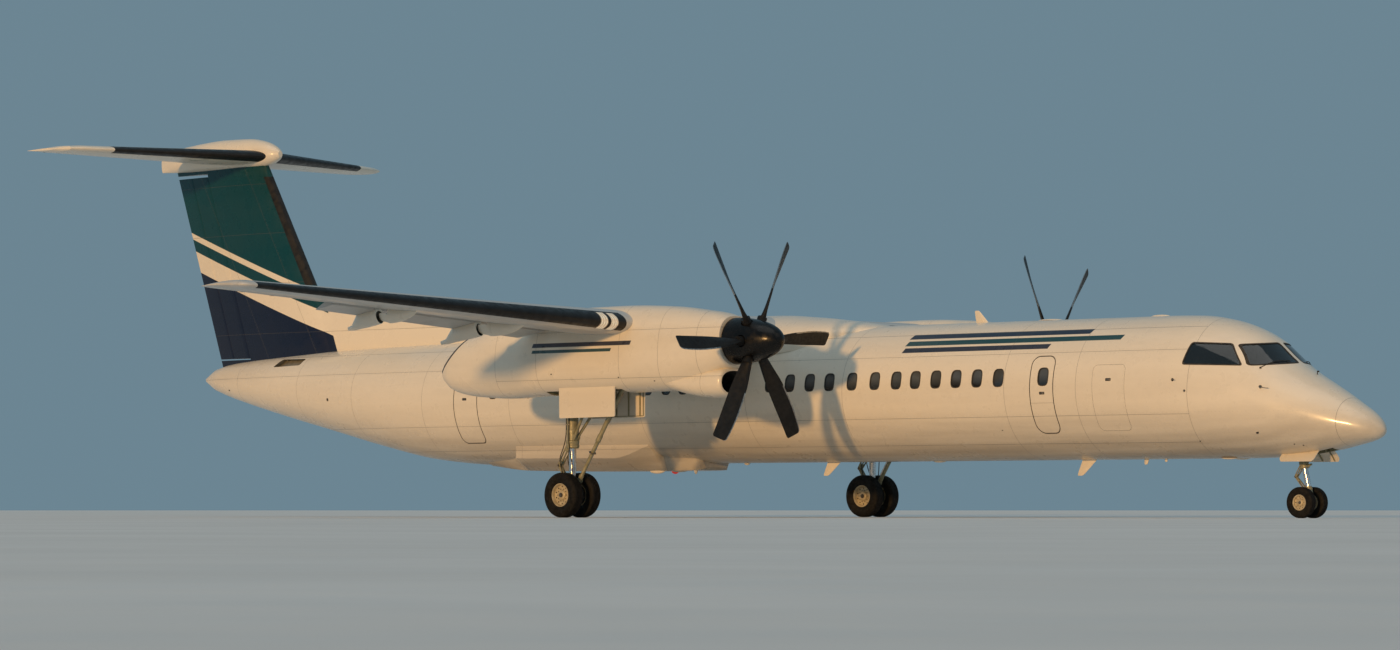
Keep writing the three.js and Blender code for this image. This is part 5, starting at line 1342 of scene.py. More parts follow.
def twin_arms(a, b, ra, rb, y, y0, y1, hole=0.0):
    return joined(arm(a, b, ra, rb, y + s * y0, y + s * y1, hole) for s in (-1, 1))


def pin(x, z, y, half, r):
    """A steel pin across the leg with a washer and a nut at each end."""
    def part(y0, y1, radius, n=20):
        return rod((x, y0, z), (x, y1, z), radius, n=n, mat=3)

    nuts = [part(y + s * half, y + s * (half + r * 0.7), r * 0.8, 6) for s in (-1, 1)]
    washers = [part(y + s * (half - 0.004), y + s * half, r * 1.3) for s in (-1, 1)]
    return joined([part(y - half, y + half, r)] + nuts + washers)


def stepped(a, b, steps, n=32, mat=0):
    """A turned strut from a to b: steps holds (distance, radius)."""
    a, b = Vector(a), Vector(b)
    return turned_profile([(steps[0][0], 0)] + steps + [(steps[-1][0], 0)], a, b - a, n, mat)


def across(x, y, z, half, steps, n, mat=3):
    """A stepped tube along y, as long on both sides of a place."""
    return stepped((x, y - half, z), (x, y + half, z), steps, n, mat)


def clip(p, r, axis=(0, 0, 1)):
    """A round clamp for a hose."""
    axis = Vector(axis)
    return rod(Vector(p) - axis * 0.009, Vector(p) + axis * 0.009, r, n=12, mat=3)


# Turned parts of the legs. Columns: distance along the part, radius.
MAIN_LEG = [
    (0, 0.085), (0.012, 0.1), (0.04, 0.112), (0.3, 0.112), (0.31, 0.124), (0.4, 0.124), (0.41, 0.112), (0.86, 0.112),
    (0.87, 0.119), (0.92, 0.119), (0.93, 0.112), (1.24, 0.112), (1.25, 0.121), (1.3, 0.121), (1.31, 0.112),
    (1.44, 0.112), (1.455, 0.13), (1.49, 0.13), (1.5, 0.124), (1.53, 0.124), (1.54, 0.13), (1.575, 0.13), (1.6, 0.114),
]
DRAG_BRACE = [
    (0, 0.03), (0.02, 0.036), (0.06, 0.046), (0.12, 0.046), (0.14, 0.037), (0.88, 0.037), (0.9, 0.052), (1.02, 0.052),
    (1.04, 0.044), (1.6, 0.044), (1.62, 0.054), (1.74, 0.054), (1.76, 0.044), (2.2, 0.044), (2.23, 0.034),
    (2.29, 0.034),
]
SIDE_BRACE = [
    (0, 0.022), (0.03, 0.034), (0.1, 0.034), (0.12, 0.028), (0.55, 0.028), (0.56, 0.038), (0.66, 0.038), (0.67, 0.028),
    (1.04, 0.028), (1.06, 0.036), (1.12, 0.036),
]


# Hoses down the main leg, by points: x and y from its middle line, and z.
MAIN_HOSES = [
    [(-0.1, 0.06, 2.8), (-0.122, 0.05, 2.2), (-0.124, 0.05, 1.62), (-0.17, 0.07, 1.36), (-0.24, 0.1, 1.12),
     (-0.16, 0.11, 0.86), (-0.1, 0.1, 0.66), (-0.11, 0.13, 0.5), (-0.06, 0.15, 0.44)],
    [(-0.1, -0.05, 2.8), (-0.124, -0.045, 2.2), (-0.126, -0.045, 1.62), (-0.16, -0.07, 1.34), (-0.22, -0.1, 1.1),
     (-0.15, -0.11, 0.84), (-0.1, -0.1, 0.66), (-0.11, -0.13, 0.5), (-0.06, -0.15, 0.44)],
    [(0.02, 0.115, 2.75), (0.02, 0.118, 2.0), (0.02, 0.125, 1.5), (0.06, 0.14, 1.3), (0.09, 0.1, 1.0),
     (0.08, 0.085, 0.78), (0.05, 0.092, 0.62)],
]


def main_leg():
    """The left main leg. Materials: 0 enamel, 1 polished piston, 2 hoses, 3 bare steel."""
    x, y, z = MAIN_X, NACELLE_Y, MAIN_Z
    trunnion = 0.329  # half the width between the walls of the bay
    parts = [
        stepped((x, y, 2.92), (x, y, 1.32), MAIN_LEG, 40),
        rod((x, y, 1.33), (x, y, 0.7), 0.07, n=32, mat=1),
        stepped((x, y, 0.735), (x, y, 0.44),
                [(0, 0.076), (0.012, 0.09), (0.05, 0.092), (0.06, 0.084), (0.18, 0.084), (0.29, 0.092)]),
        across(x, y, z, 0.105, [(0, 0.08), (0.012, 0.092), (0.198, 0.092), (0.21, 0.08)], 32, 0),
        stepped((x, y, z - 0.07), (x, y, z - 0.112), [(0, 0.05), (0.03, 0.044), (0.042, 0.028)], 24, 3),
        across(x, y, 2.86, trunnion,
               [(0, 0.05), (0.05, 0.05), (0.06, 0.062), (0.598, 0.062), (0.608, 0.05), (0.658, 0.05)], 28),
        twin_arms((x - 0.09, 1.35), (x - 0.33, 1.0), 0.052, 0.034, y, 0.03, 0.048, 0.45),
        twin_arms((x - 0.06, 0.56), (x - 0.33, 1.0), 0.05, 0.034, y, 0.01, 0.028, 0.45),
        pin(x - 0.09, 1.35, y, 0.056, 0.018), pin(x - 0.33, 1.0, y, 0.056, 0.018), pin(x - 0.075, 0.56, y, 0.05, 0.018),
        twin_arms((x, 0.64), (1.01, 0.7), 0.055, 0.046, y, 0.026, 0.046),
        pin(1.01, 0.7, y, 0.056, 0.026),
        stepped((1.01, y, 0.7), (2.27, y, 2.62), DRAG_BRACE, 28),
        across(2.27, y, 2.62, trunnion,
               [(0, 0.036), (0.22, 0.036), (0.23, 0.05), (0.428, 0.05), (0.438, 0.036), (0.658, 0.036)], 24),
        rod((1.1, y - 0.062, 0.86), (1.72, y - 0.062, 1.8), 0.013, n=12, mat=1),
        stepped((1.72, y - 0.062, 1.8), (2.1, y - 0.062, 2.38),
                [(0, 0.018), (0.01, 0.026), (0.68, 0.026), (0.69, 0.018)], 18, 3),
        across(x - 0.004, y, 2.42, trunnion, [(0, 0.022), (0.658, 0.022)], 18),
    ]
    for s in (-1, 1):
        parts.append(stepped((x + 0.06, y + s * 0.035, 1.48), (x + 0.72, y + s * 0.2, 2.42), SIDE_BRACE, 22))
        parts.append(arm((x + 0.02, 1.46), (x + 0.1, 1.52), 0.05, 0.034, y + s * 0.062, y + s * 0.076))
        parts.append(clip((1.36, y + s * 0.03, 1.235), 0.052, (0.55, 0, 0.83)))
    parts.append(across(x + 0.72, y, 2.42, trunnion, [(0, 0.028), (0.658, 0.028)], 18))
    parts += [tube(curve([(x + a, y + b, height) for a, b, height in line]), 0.0095, 8, 2) for line in MAIN_HOSES]
    for height in (2.5, 2.12, 1.78):
        parts += [clip((x + a, y + b, height), 0.017) for a, b in ((-0.121, 0.05), (-0.123, -0.045), (0.02, 0.117))]
    parts.append(rod((x + 0.1, y + 0.02, 1.62), (x + 0.155, y + 0.02, 1.62), 0.028, n=18, mat=3))
    parts.append(rod((x + 0.06, y - 0.085, 0.6), (x + 0.06, y - 0.085, 0.69), 0.02, n=14, mat=3))
    return joined(parts)


def flat_door(outline, y, thickness, ribs, inner):
    """A door plate with a shallow pan behind it and ribs on the side that faces the bay."""
    face = thickness / 2
    plate = prism(outline, along_y, y - face, y + face)
    pan = ring_prism(offset(outline, -0.02), offset(outline, -0.034), along_y,
                     y + inner * face, y + inner * (face + 0.014), 1)
    bars = [prism(corners(x - 0.01, x + 0.01, low, high), along_y,
                  y + inner * (face - 0.001), y + inner * (face + 0.022), 1) for x, low, high in ribs]
    return joined([plate, pan] + bars)


def build_main_gear():
    leg = main_leg()
    skin = nacelle_loft(span(2.7, 0.5, 0.1), inset=-0.0006)
    outline = rounded([(0.885, 1.89), (2.35, 1.905), (2.35, 2.7), (0.87, 2.7)], 0.035)
    ribs = [(x, 1.925, 2.4) for x in (0.98, 1.3, 1.62, 1.94, 2.24)]
    # A hinge arm of a door, by points: y from the middle of the nacelle, and z.
    hinge = [(0.398, 2.36), (0.365, 2.392), (0.325, 2.415), (0.309, 2.5), (0.318, 2.6)]
    for name, side in SIDES:
        piece(f"main_leg_{name}_detail", leg.mirrored(side), [GEAR, CHROME, HOSE, STEEL],
              replaces=[f"main_leg_{name}"], bevel=0.0018)
        for part, s in (("inner", -1), ("outer", 1)):
            door = [carved(flat_door(outline, NACELLE_Y + s * 0.41, 0.018, ribs, -s), [skin])]
            for x in (1.02, 1.62, 2.2):
                door.append(tube(curve([(x, NACELLE_Y + s * y, z) for y, z in hinge]), 0.012, 10, 2))
            door.append(rod((1.46, NACELLE_Y + s * 0.388, 2.2), (1.46, NACELLE_Y + s * 0.22, 2.66), 0.011, n=12, mat=2))
            piece(f"main_door_{part}_{name}_panel", joined(door).mirrored(side), [PLAIN_PAINT, BAY, GEAR],
                  replaces=[f"main_door_{part}_{name}"], bevel=0.0015)


def on_nose_axis(z, y=0.0, ahead=0.0):
    """A place on the raked middle line of the nose leg, or beside it."""
    return Vector((NOSE_X + NOSE_TRAIL - (z - NOSE_Z) * math.tan(NOSE_RAKE) + ahead, y, z))


# Turned parts and hoses of the nose leg. Columns: distance and radius; height, y and distance ahead of the leg.
NOSE_TRUNNION = [(0, 0.034), (0.06, 0.034), (0.07, 0.044), (0.388, 0.044), (0.398, 0.034), (0.458, 0.034)]
NOSE_BRACE = [(0, 0.02), (0.02, 0.03), (0.07, 0.03), (0.08, 0.022), (0.44, 0.022), (0.46, 0.03), (0.5, 0.03)]
NOSE_LAMP = [(0, 0.022), (0.005, 0.03), (0.03, 0.046), (0.066, 0.06), (0.085, 0.063), (0.086, 0.056), (0.07, 0.054)]
NOSE_LENS = [(0.0, 0.0), (0.0, 0.0545), (0.01, 0.0545), (0.016, 0.036), (0.018, 0.0)]
NOSE_COLLAR = [
    (0, 0.08), (0.008, 0.088), (0.05, 0.088), (0.055, 0.08), (0.075, 0.08), (0.08, 0.088), (0.124, 0.088),
    (0.132, 0.074),
]
NOSE_HOSES = [
    [(1.44, 0.05, -0.06), (1.3, 0.055, -0.065), (1.15, 0.06, -0.07), (1.04, 0.05, -0.08)],
    [(1.44, -0.05, -0.06), (1.28, -0.05, -0.068), (1.18, -0.07, -0.06), (1.05, -0.04, -0.085)],
    [(1.4, 0.06, 0.05), (1.25, 0.085, 0.05), (1.12, 0.11, 0.04)],
]


def build_nose_strut():
    top, foot, pivot = on_nose_axis(1.46), on_nose_axis(1.012), on_nose_axis(1.42)
    lamp_x, lamp_z = on_nose_axis(1.09, ahead=0.05).x, 1.09
    length = (foot - top).length
    half = 0.229  # half the width between the walls of the bay
    cylinder = [(0, 0.06), (0.01, 0.074), (0.14, 0.074), (0.15, 0.083), (0.2, 0.083), (0.21, 0.074),
                (length - 0.1, 0.074), (length - 0.09, 0.086), (length - 0.012, 0.086), (length, 0.076)]
    strut = [
        stepped(top, foot, cylinder, 36),
        across(pivot.x, 0, pivot.z, half, NOSE_TRUNNION, 24),
        across(15.25, 0, 1.43, half, [(0, 0.026), (0.458, 0.026)], 20),
        rod(on_nose_axis(1.2, -0.16), on_nose_axis(1.2, 0.16), 0.034, round_ends=0.006),
        rod(on_nose_axis(1.2, -0.2), on_nose_axis(1.2, 0.2), 0.018, n=18, mat=3),
    ]
    for s in (-1, 1):
        y = s * 0.105
        strut.append(stepped(on_nose_axis(1.075, s * 0.03, 0.03), (15.25, s * 0.165, 1.43), NOSE_BRACE, 20))
        strut.append(rod(on_nose_axis(lamp_z, s * 0.04), (lamp_x, y, lamp_z), 0.016, n=14))
        strut.append(stepped((lamp_x - 0.01, y, lamp_z), (lamp_x + 0.1, y, lamp_z), NOSE_LAMP, 28))
        strut.append(turned_profile(NOSE_LENS, (lamp_x + 0.062, y, lamp_z), (1, 0, 0), 28, 4))
    strut += [tube(curve([on_nose_axis(*p) for p in line]), 0.007, 8, 2) for line in NOSE_HOSES]
    piece("nose_strut_detail", joined(strut), [GEAR, CHROME, HOSE, STEEL, WARM_LAMP], replaces=["nose_gear_strut"],
          bevel=0.0014)


def build_nose_fork():
    collar = on_nose_axis(0.88)
    knee = Vector((collar.x - 0.19, 0.735))
    low = on_nose_axis(NOSE_Z + 0.06)
    fork = [
        stepped(on_nose_axis(1.008), collar, NOSE_COLLAR, 36),
        rod(on_nose_axis(0.89), on_nose_axis(0.52), 0.052, n=30, mat=1),
        stepped(on_nose_axis(0.56), low, [(0, 0.05), (0.01, 0.062), (0.06, 0.064), (0.07, 0.058), (0.22, 0.058)], 28),
        rod(low, (NOSE_X, 0, NOSE_Z), 0.06, 0.056),
        across(NOSE_X, 0, NOSE_Z, 0.072, [(0, 0.054), (0.008, 0.062), (0.136, 0.062), (0.144, 0.054)], 28, 0),
        twin_arms((collar.x - 0.06, 0.93), knee, 0.034, 0.022, 0, 0.02, 0.034, 0.45),
        twin_arms((low.x - 0.035, 0.42), knee, 0.034, 0.022, 0, 0.004, 0.018, 0.45),
        pin(collar.x - 0.06, 0.93, 0, 0.04, 0.013), pin(*knee, 0, 0.04, 0.013),
        pin(low.x - 0.035, 0.42, 0, 0.034, 0.013),
        arm((collar.x + 0.06, 0.93), (collar.x + 0.135, 0.955), 0.03, 0.016, -0.012, 0.012),
        rod((NOSE_X + 0.05, 0, NOSE_Z - 0.02), (NOSE_X + 0.115, 0, NOSE_Z - 0.045), 0.02, 0.013, 16, 3),
    ]
    piece("nose_fork_detail", joined(fork), [GEAR, CHROME, HOSE, STEEL], "nose_fork", ["nose_gear_fork"],
          bevel=0.0012)


def build_nose_doors():
    """Bulged doors that hang open: y and z run along the plate, from its hinge at t = 0 to its free edge at t = 1."""
    skin = fuselage_body(15.7, 14.1, -0.0006, 60)
    for name, side in SIDES:
        rings, details = [], []
        for t in np.linspace(0, 1, 9):
            y, z = 0.186 + 0.234 * t, 1.22 - 0.22 * t
            out = 0.014 * math.sin(math.pi * t)
            inset = 0.05 * max(0.0, (t - 0.75) / 0.25) ** 2
            rings.append([Vector((x, y + a + out * 0.68, z + a + out * 0.73)) for x, a in
                          corners(14.45 + inset, 15.2 - inset, 0.0, 0.01)])
        for x in (14.56, 14.83, 15.09):
            bar = []
            for t in np.linspace(0.1, 0.92, 7):
                y, z, out = 0.186 + 0.234 * t, 1.22 - 0.22 * t, math.sin(math.pi * t)
                bar.append([Vector((x + dx, y - a + 0.0096 * out, z - a + 0.0102 * out))
                            for dx, a in corners(-0.009, 0.009, -0.002, 0.014)])
            details.append(loft(bar, 1))
        for x in (14.6, 15.05):
            link = [(x, 0.215, 1.18), (x, 0.19, 1.175), (x, 0.175, 1.21), (x, 0.18, 1.28)]
            details.append(tube(curve(link), 0.008, 8, 2))
        details.append(rod((14.83, 0.3, 1.095), (14.83, 0.155, 1.3), 0.008, n=10, mat=2))
        solid = carved(loft(rings).mirrored(side), [skin]) + joined(details).mirrored(side)
        piece(f"nose_door_{name}_panel", solid, [PLAIN_PAINT, BAY, GEAR], replaces=[f"nose_door_{name}"])


# Airstair door, vestibule and flight deck

DOOR_HINGE = (1.012, 1.512)  # y and z of the hinge at the sill
TREADS, TREAD_SLOPE, TREAD_DEPTH, TREAD_WIDTH = 5, math.radians(55), 0.2, 0.6


def shell(x0, x1, outer, inner, steps=40):
    """Part of the cabin skin between two insets."""
    return carved(fuselage_body(x0, x1, outer, steps), [fuselage_body(x0 + 0.02, x1 - 0.02, inner, steps)])


def airstair_step(z, x0, x1):
    """A tread with its grip strips and its two side plates."""
    middle = (x0 + x1) / 2
    run = Vector((-math.cos(TREAD_SLOPE), math.sin(TREAD_SLOPE)))
    down = Vector((math.sin(TREAD_SLOPE), math.cos(TREAD_SLOPE)))
    root = Vector((skin_y(middle, z, 0.06), z)) - run * 0.022
    tip = root + run * (TREAD_DEPTH + 0.022)
    foot = Vector((skin_y(middle, z + 0.11, 0.05), z + 0.11))

    def plate(points, xa, xb, mat=2):
        return prism([tuple(p) for p in points], along_x, xa, xb, mat)

    parts = [plate((root, tip, tip + down * 0.02, root + down * 0.02), x0, x1)]
    for k in range(7):
        p = root.lerp(tip, 0.16 + 0.12 * k)
        q = p + run * 0.013
        parts.append(plate((p, q, q - down * 0.003, p - down * 0.003), x0 + 0.02, x1 - 0.02, 3))
    cheek = (root, tip, tip + down * 0.03, root.lerp(tip, 0.72) + down * 0.04, foot, root + down * 0.022)
    return parts + [plate(cheek, x - 0.006, x + 0.006) for x in (x0 + 0.006, x1 - 0.006)]


def build_airstair():
    """The door with its steps, and the lining behind it."""
    x0, x1, z0, z1 = AIRSTAIR
    middle = (x0 + x1) / 2
    keep = prism(rounded_rect(x0 + 0.012, x1 - 0.012, z0 + 0.012, z1 - 0.012, 0.09), along_y, 0.5, 1.6)
    port_x, port_z, port_r = AIRSTAIR_PORT
    port = prism(circle(port_x, port_z, port_r), along_y, 0.5, 1.6, 1)
    pane = prism(circle(port_x, port_z, port_r - 0.0005), along_y, 0.5, 1.6)
    handle = side_cut(rectangle(9.66, 9.86, 2.36, 2.45, 0.02), LEFT, 0.02, 0.3, 1)
    parts = [carved(carved(shell(10.4, 9.3, 0.0, 0.048), [keep], "INTERSECT"), [port, handle]),
             carved(shell(10.0, 9.7, 0.01, 0.018, 12), [pane], "INTERSECT").painted(5),
             rod((9.69, skin_y(9.7, 2.405) - 0.012, 2.405), (9.83, skin_y(9.8, 2.405) - 0.012, 2.405), 0.01,
                 n=12, mat=4, round_ends=0.003)]
    for i in range(TREADS):
        z = z0 + 0.19 + i * (z1 - z0 - 0.44) / (TREADS - 1)
        parts += airstair_step(z, middle - TREAD_WIDTH / 2, middle + TREAD_WIDTH / 2)
    for x in (x0 + 0.075, x1 - 0.075):
        bows = [(0.035 * math.sin(math.pi * (z - z0 - 0.08) / (z1 - z0 - 0.2)) ** 0.5, z)
                for z in np.linspace(z0 + 0.09, z1 - 0.13, 15)]
        parts.append(tube([(x, skin_y(x, z, 0.06) + 0.004 - bow, z) for bow, z in bows], 0.011, 10, 4))
    y, z = DOOR_HINGE
    lug = [(y - 0.009, z - 0.004), (y + 0.009, z - 0.004), (y + 0.024, z + 0.044), (y + 0.004, z + 0.044)]
    knuckles = []
    for x in (x0 + 0.12, x1 - 0.18):
        parts.append(rod((x, y, z), (x + 0.06, y, z), 0.01, n=20, mat=4))
        parts.append(prism(lug, along_x, x, x + 0.06, 4))
        knuckles += [rod((a, y, z), (a + 0.038, y, z), 0.01, n=20) for a in (x - 0.0405, x + 0.0625)]
    piece("airstair_door_panel", joined(parts), [BODY_PAINT, SEAL, TREAD_METAL, GRIP, CHROME, WINDOW_GLASS],
          "airstair_door", ["airstair_door"])
    piece("airstair_knuckles", joined(knuckles), [STEEL])
    inside = [box(x0 + 0.03, x1 - 0.03, 0.262, 0.95, z0 + 0.004, z0 + 0.012, 1)]
    inside += [box(x0 + 0.004, x1 - 0.004, 0.252, 0.262, z, z + 0.006) for z in (1.95, 2.55)]
    inside.append(prism(rounded_rect(x0 + 0.14, x1 - 0.14, z0 + 0.1, 2.8, 0.05), along_y, 0.252, 0.26))
    inside += [rod((x, 0.3, 1.95), (x, 0.3, 2.6), 0.014, n=14, mat=2) for x in (x0 + 0.07, x1 - 0.07)]
    piece("vestibule_lining", joined(inside), [TRIM, GRIP, CHROME])


def padded_block(x0, x1, y0, y1, z0, z1, lean=0.0):
    """A cushion with crowned faces, sides pulled in between its corners and a piped seam; lean shifts its top."""
    def ring(t, k):
        cx, cy = (x0 + x1) / 2 + lean * t, (y0 + y1) / 2
        line = []
        for w in angles(40):
            grow = k * (1 - 0.035 * math.cos(2 * w) ** 2)
            line.append(Vector((cx + power(math.cos(w), 0.5) * (x1 - x0) / 2 * grow,
                                cy + power(math.sin(w), 0.5) * (y1 - y0) / 2 * grow, mixed(z0, z1, t))))
        return line

    crown = [(0.0, 0.45), (0.02, 0.68), (0.07, 0.86), (0.16, 0.96), (0.32, 1.0), (0.5, 1.0), (0.68, 1.0), (0.84, 0.96),
             (0.93, 0.86), (0.98, 0.68), (1.0, 0.45)]
    return loft([ring(t, k) for t, k in crown]) + tube(ring(0.5, 1.0) + ring(0.5, 1.0)[:1], 0.005, 6)


DECK_PANEL = [
    (14.06, 1.63), (14.48, 1.63), (14.48, 2.4), (14.36, 2.52), (13.98, 2.555), (13.9, 2.52), (13.93, 2.44),
    (14.06, 2.38),
]
DECK_PEDESTAL = [(13.2, 1.63), (14.1, 1.63), (14.1, 2.26), (13.95, 2.26), (13.45, 2.02), (13.2, 2.0)]
SEAT_FOOT = [(12.86, 1.64), (13.26, 1.64), (13.2, 1.91), (12.92, 1.91)]
# Cushions of a seat. Columns: rear x, front x, half width, lower z, upper z, lean.
CUSHIONS = [
    (12.92, 13.34, 0.23, 1.9, 2.04, 0.0), (12.8, 12.93, 0.23, 2.02, 2.7, -0.05),
    (12.73, 12.83, 0.13, 2.72, 2.89, -0.02),
]
# Half of a control wheel, by points: x, distance from its middle, z.
WHEEL_HORN = [(13.72, 0.17, 2.33), (13.71, 0.17, 2.24), (13.71, 0.08, 2.2)]


def build_flight_deck():
    parts = [box(12.3, 14.5, -0.64, 0.64, 1.6205, 1.64, 2), prism(DECK_PANEL, along_y, -0.59, 0.59),
             prism(rounded(DECK_PEDESTAL, 0.03), along_y, -0.145, 0.145)]
    parts += [prism(rectangle(y - 0.09, y + 0.09, 2.17, 2.37, 0.015), along_x, 14.046, 14.062, 1)
              for y in (-0.44, -0.22, 0.0, 0.22, 0.44)]
    for y in (-0.06, 0.0, 0.06):
        parts.append(tube([(13.55, y, 2.06), (13.57, y, 2.13), (13.6, y, 2.19)], 0.009, 8, 2))
        parts.append(rod((13.6, y - 0.02, 2.19), (13.6, y + 0.02, 2.19), 0.016, n=14))
    cushions = []
    for y in (-0.42, 0.42):
        cushions += [padded_block(x0, x1, y - half, y + half, z0, z1, lean) for x0, x1, half, z0, z1, lean in CUSHIONS]
        for s in (-1, 1):
            middle = y + s * 0.265
            cushions.append(padded_block(12.92, 13.24, middle - 0.03, middle + 0.03, 2.2, 2.245))
            parts.append(rod((12.79, y + s * 0.06, 2.66), (12.78, y + s * 0.06, 2.76), 0.008, n=10, mat=2))
        parts.append(prism(rounded(SEAT_FOOT, 0.02), along_y, y - 0.17, y + 0.17, 2))
        column = [(13.96, y, 1.64), (13.9, y, 1.95), (13.78, y, 2.16), (13.72, y, 2.22)]
        parts.append(tube(curve(column), 0.018, 12, 2))
        horns = [(x, y - reach, z) for x, reach, z in WHEEL_HORN] + [(13.71, y, 2.215)]
        horns += [(x, y + reach, z) for x, reach, z in WHEEL_HORN[::-1]]
        parts.append(tube(curve(horns), 0.014, 12))
    seats = piece("flight_deck_cushions", joined(cushions), [SEAT_CLOTH], angle=60)
    piece("flight_deck_fittings", joined(parts), [PANEL_PLASTIC, SCREEN, TREAD_METAL],
          replaces=["flight_deck_interior"], angle=40)


# Lamps, antennas, probes and other small fittings

def blade(x, z, tip_x, tip_z, chord, tip_chord, thickness):
    """An antenna blade on the middle line: an airfoil loft from base to tip, chords along x."""
    shares = foil_fractions(10)
    rings = []
    for t, k in ((0.0, 1.0), (0.5, 0.97), (0.85, 0.9), (0.96, 0.8), (1.0, 0.55)):
        p = Vector((x, 0, z)).lerp(Vector((tip_x, 0, tip_z)), t)
        c = mixed(chord, tip_chord, t) * k
        rings.append([Vector((p.x + c * (0.5 - f), face * foil_half(1.0, f) * thickness * (1 - 0.4 * t), p.z))
                      for f, face in [(f, 1) for f in shares] + [(f, -1) for f in shares[-2:0:-1]]])
    return loft(rings)


def dome(x, y, z, length, width, height, up=1):
    rings = []
    for t in (0.0, 0.25, 0.5, 0.72, 0.88, 0.97, 1.0):
        k = math.sqrt(1 - t * t) if t < 1 else 0.06
        rings.append([Vector((x + math.cos(w) * length / 2 * k, y + math.sin(w) * width / 2 * k, z + up * height * t))
                      for w in angles(32)])
    return loft(rings)


# Columns: x and z of the foot, x and z of the tip, chord, chord at the tip, thickness.
BLADE_ANTENNAS = [
    (7.36, 3.672, 7.22, 3.91, 0.3, 0.13, 0.03), (3.64, 1.078, 3.42, 0.81, 0.34, 0.16, 0.034),
    (9.91, 1.078, 9.68, 0.78, 0.34, 0.16, 0.034), (11.22, 1.08, 11.2, 0.975, 0.11, 0.08, 0.05),
    (11.66, 1.08, 11.66, 1.02, 0.08, 0.05, 0.04),
]
# Columns: x, y, z, length, width, height, and -1 where it hangs down.
DOME_ANTENNAS = [
    (11.55, 0, 3.676, 0.42, 0.16, 0.035), (13.22, -0.2, 1.08, 0.34, 0.14, 0.03, -1),
    (13.22, 0.2, 1.08, 0.34, 0.14, 0.03, -1), (9.0, 0, 3.676, 0.55, 0.3, 0.03), (6.3, 0, 1.074, 0.3, 0.12, 0.028, -1),
    (-0.2, -0.3, 0.927, 0.4, 0.12, 0.03, -1), (1.35, 0, 1.074, 0.14, 0.1, 0.045, -1),
    (-0.66, -0.46, 0.93, 0.42, 0.08, 0.06, -1), (0.3, -0.36, 0.945, 0.09, 0.06, 0.09, -1),
]
# Round dots on both flanks of the cabin. Columns: x, z, radius, height, number of sides.
FLANK_DOTS = [(12.75, 2.47, 0.028, 0.004, 20), (14.32, 1.52, 0.03, 0.002, 20)]
FLANK_DOTS += [(x, z, 0.014, 0.002, 14) for x, z in ((14.9, 1.31), (15.05, 1.29), (13.05, 1.38), (8.72, 1.62))]
FLANK_DOTS += [(-13.7, 2.78, 0.022, 0.002, 16)]
# Air data probes: the foot, with its columns as above, and the tube by x, z and distance from the skin.
PROBE_FEET = [(14.43, 2.32, 0.03, 0.012, 20), (13.0, 2.27, 0.022, 0.006, 18)]
PROBE_TUBES = [
    ([(14.43, 2.32, 0.0), (14.45, 2.315, 0.045), (14.52, 2.305, 0.06), (14.6, 2.295, 0.062)], 0.007),
    ([(12.75, 2.47, 0.0), (12.765, 2.47, 0.05), (12.83, 2.468, 0.06)], 0.006),
]
DOOR_HANDLES = [(9.84, 2.28), (-5.3, 2.42), (11.36, 2.5)]


def flank_details(side):
    """Dark and bright small fittings of one side."""
    def at(x, z, out=0.0):
        return Vector((x, side * (skin_y(x, z) + out), z))

    def dots(rows):
        return [rod(at(x, z, -0.01), at(x, z, out), radius, n=n) for x, z, radius, out, n in rows]

    def patch(x0, x1, z0, z1, radius):
        return curved_plate(rectangle(x0, x1, z0, z1, radius), side, 0.0015, 0.004)

    dark, bright = dots(FLANK_DOTS), dots(PROBE_FEET)
    bright += [tube(curve([at(*p) for p in line]), radius) for line, radius in PROBE_TUBES]
    dark.append(patch(-9.78, -9.72, 2.46, 2.52, 0.01))
    for x, z in DOOR_HANDLES if side == RIGHT else ():
        dark.append(patch(x - 0.06, x + 0.06, z - 0.025, z + 0.025, 0.012))
        bright.append(rod(at(x - 0.045, z, 0.004), at(x + 0.045, z, 0.004), 0.008, n=10, round_ends=0.002))
    wiper = [Vector((x, side * y, 0)) for x, y in ((14.33, 0.78), (14.47, 0.52), (14.6, 0.24))]
    for p in wiper:
        _, top, _, half, middle = fuselage_row(p.x)
        p.z = middle + (top - middle) * math.sqrt(max(0.0, 1 - (p.y / half) ** 2)) + 0.014
    dark.append(tube(curve(wiper), 0.008, 8))
    dark.append(rod(wiper[0] - Vector((0, 0, 0.02)), wiper[0] + Vector((0, 0, 0.008)), 0.018, n=14))
    for flank in (-1, 1):
        def wall(x, z, out):
            return Vector((x, side * NACELLE_Y + flank * (nacelle_half(x, z) + out), z))

        dark += [rod(wall(x, z, -0.01), wall(x, z, 0.002), 0.016, n=14)
                 for x, z in ((2.57, 2.64), (3.43, 2.56), (0.82, 2.73))]
        a, b = wall(4.42, 3.17, -0.012), wall(4.51, 3.29, 0.003)
        dark.append(box(a.x, b.x, min(a.y, b.y), max(a.y, b.y), a.z, b.z))
    return dark, bright


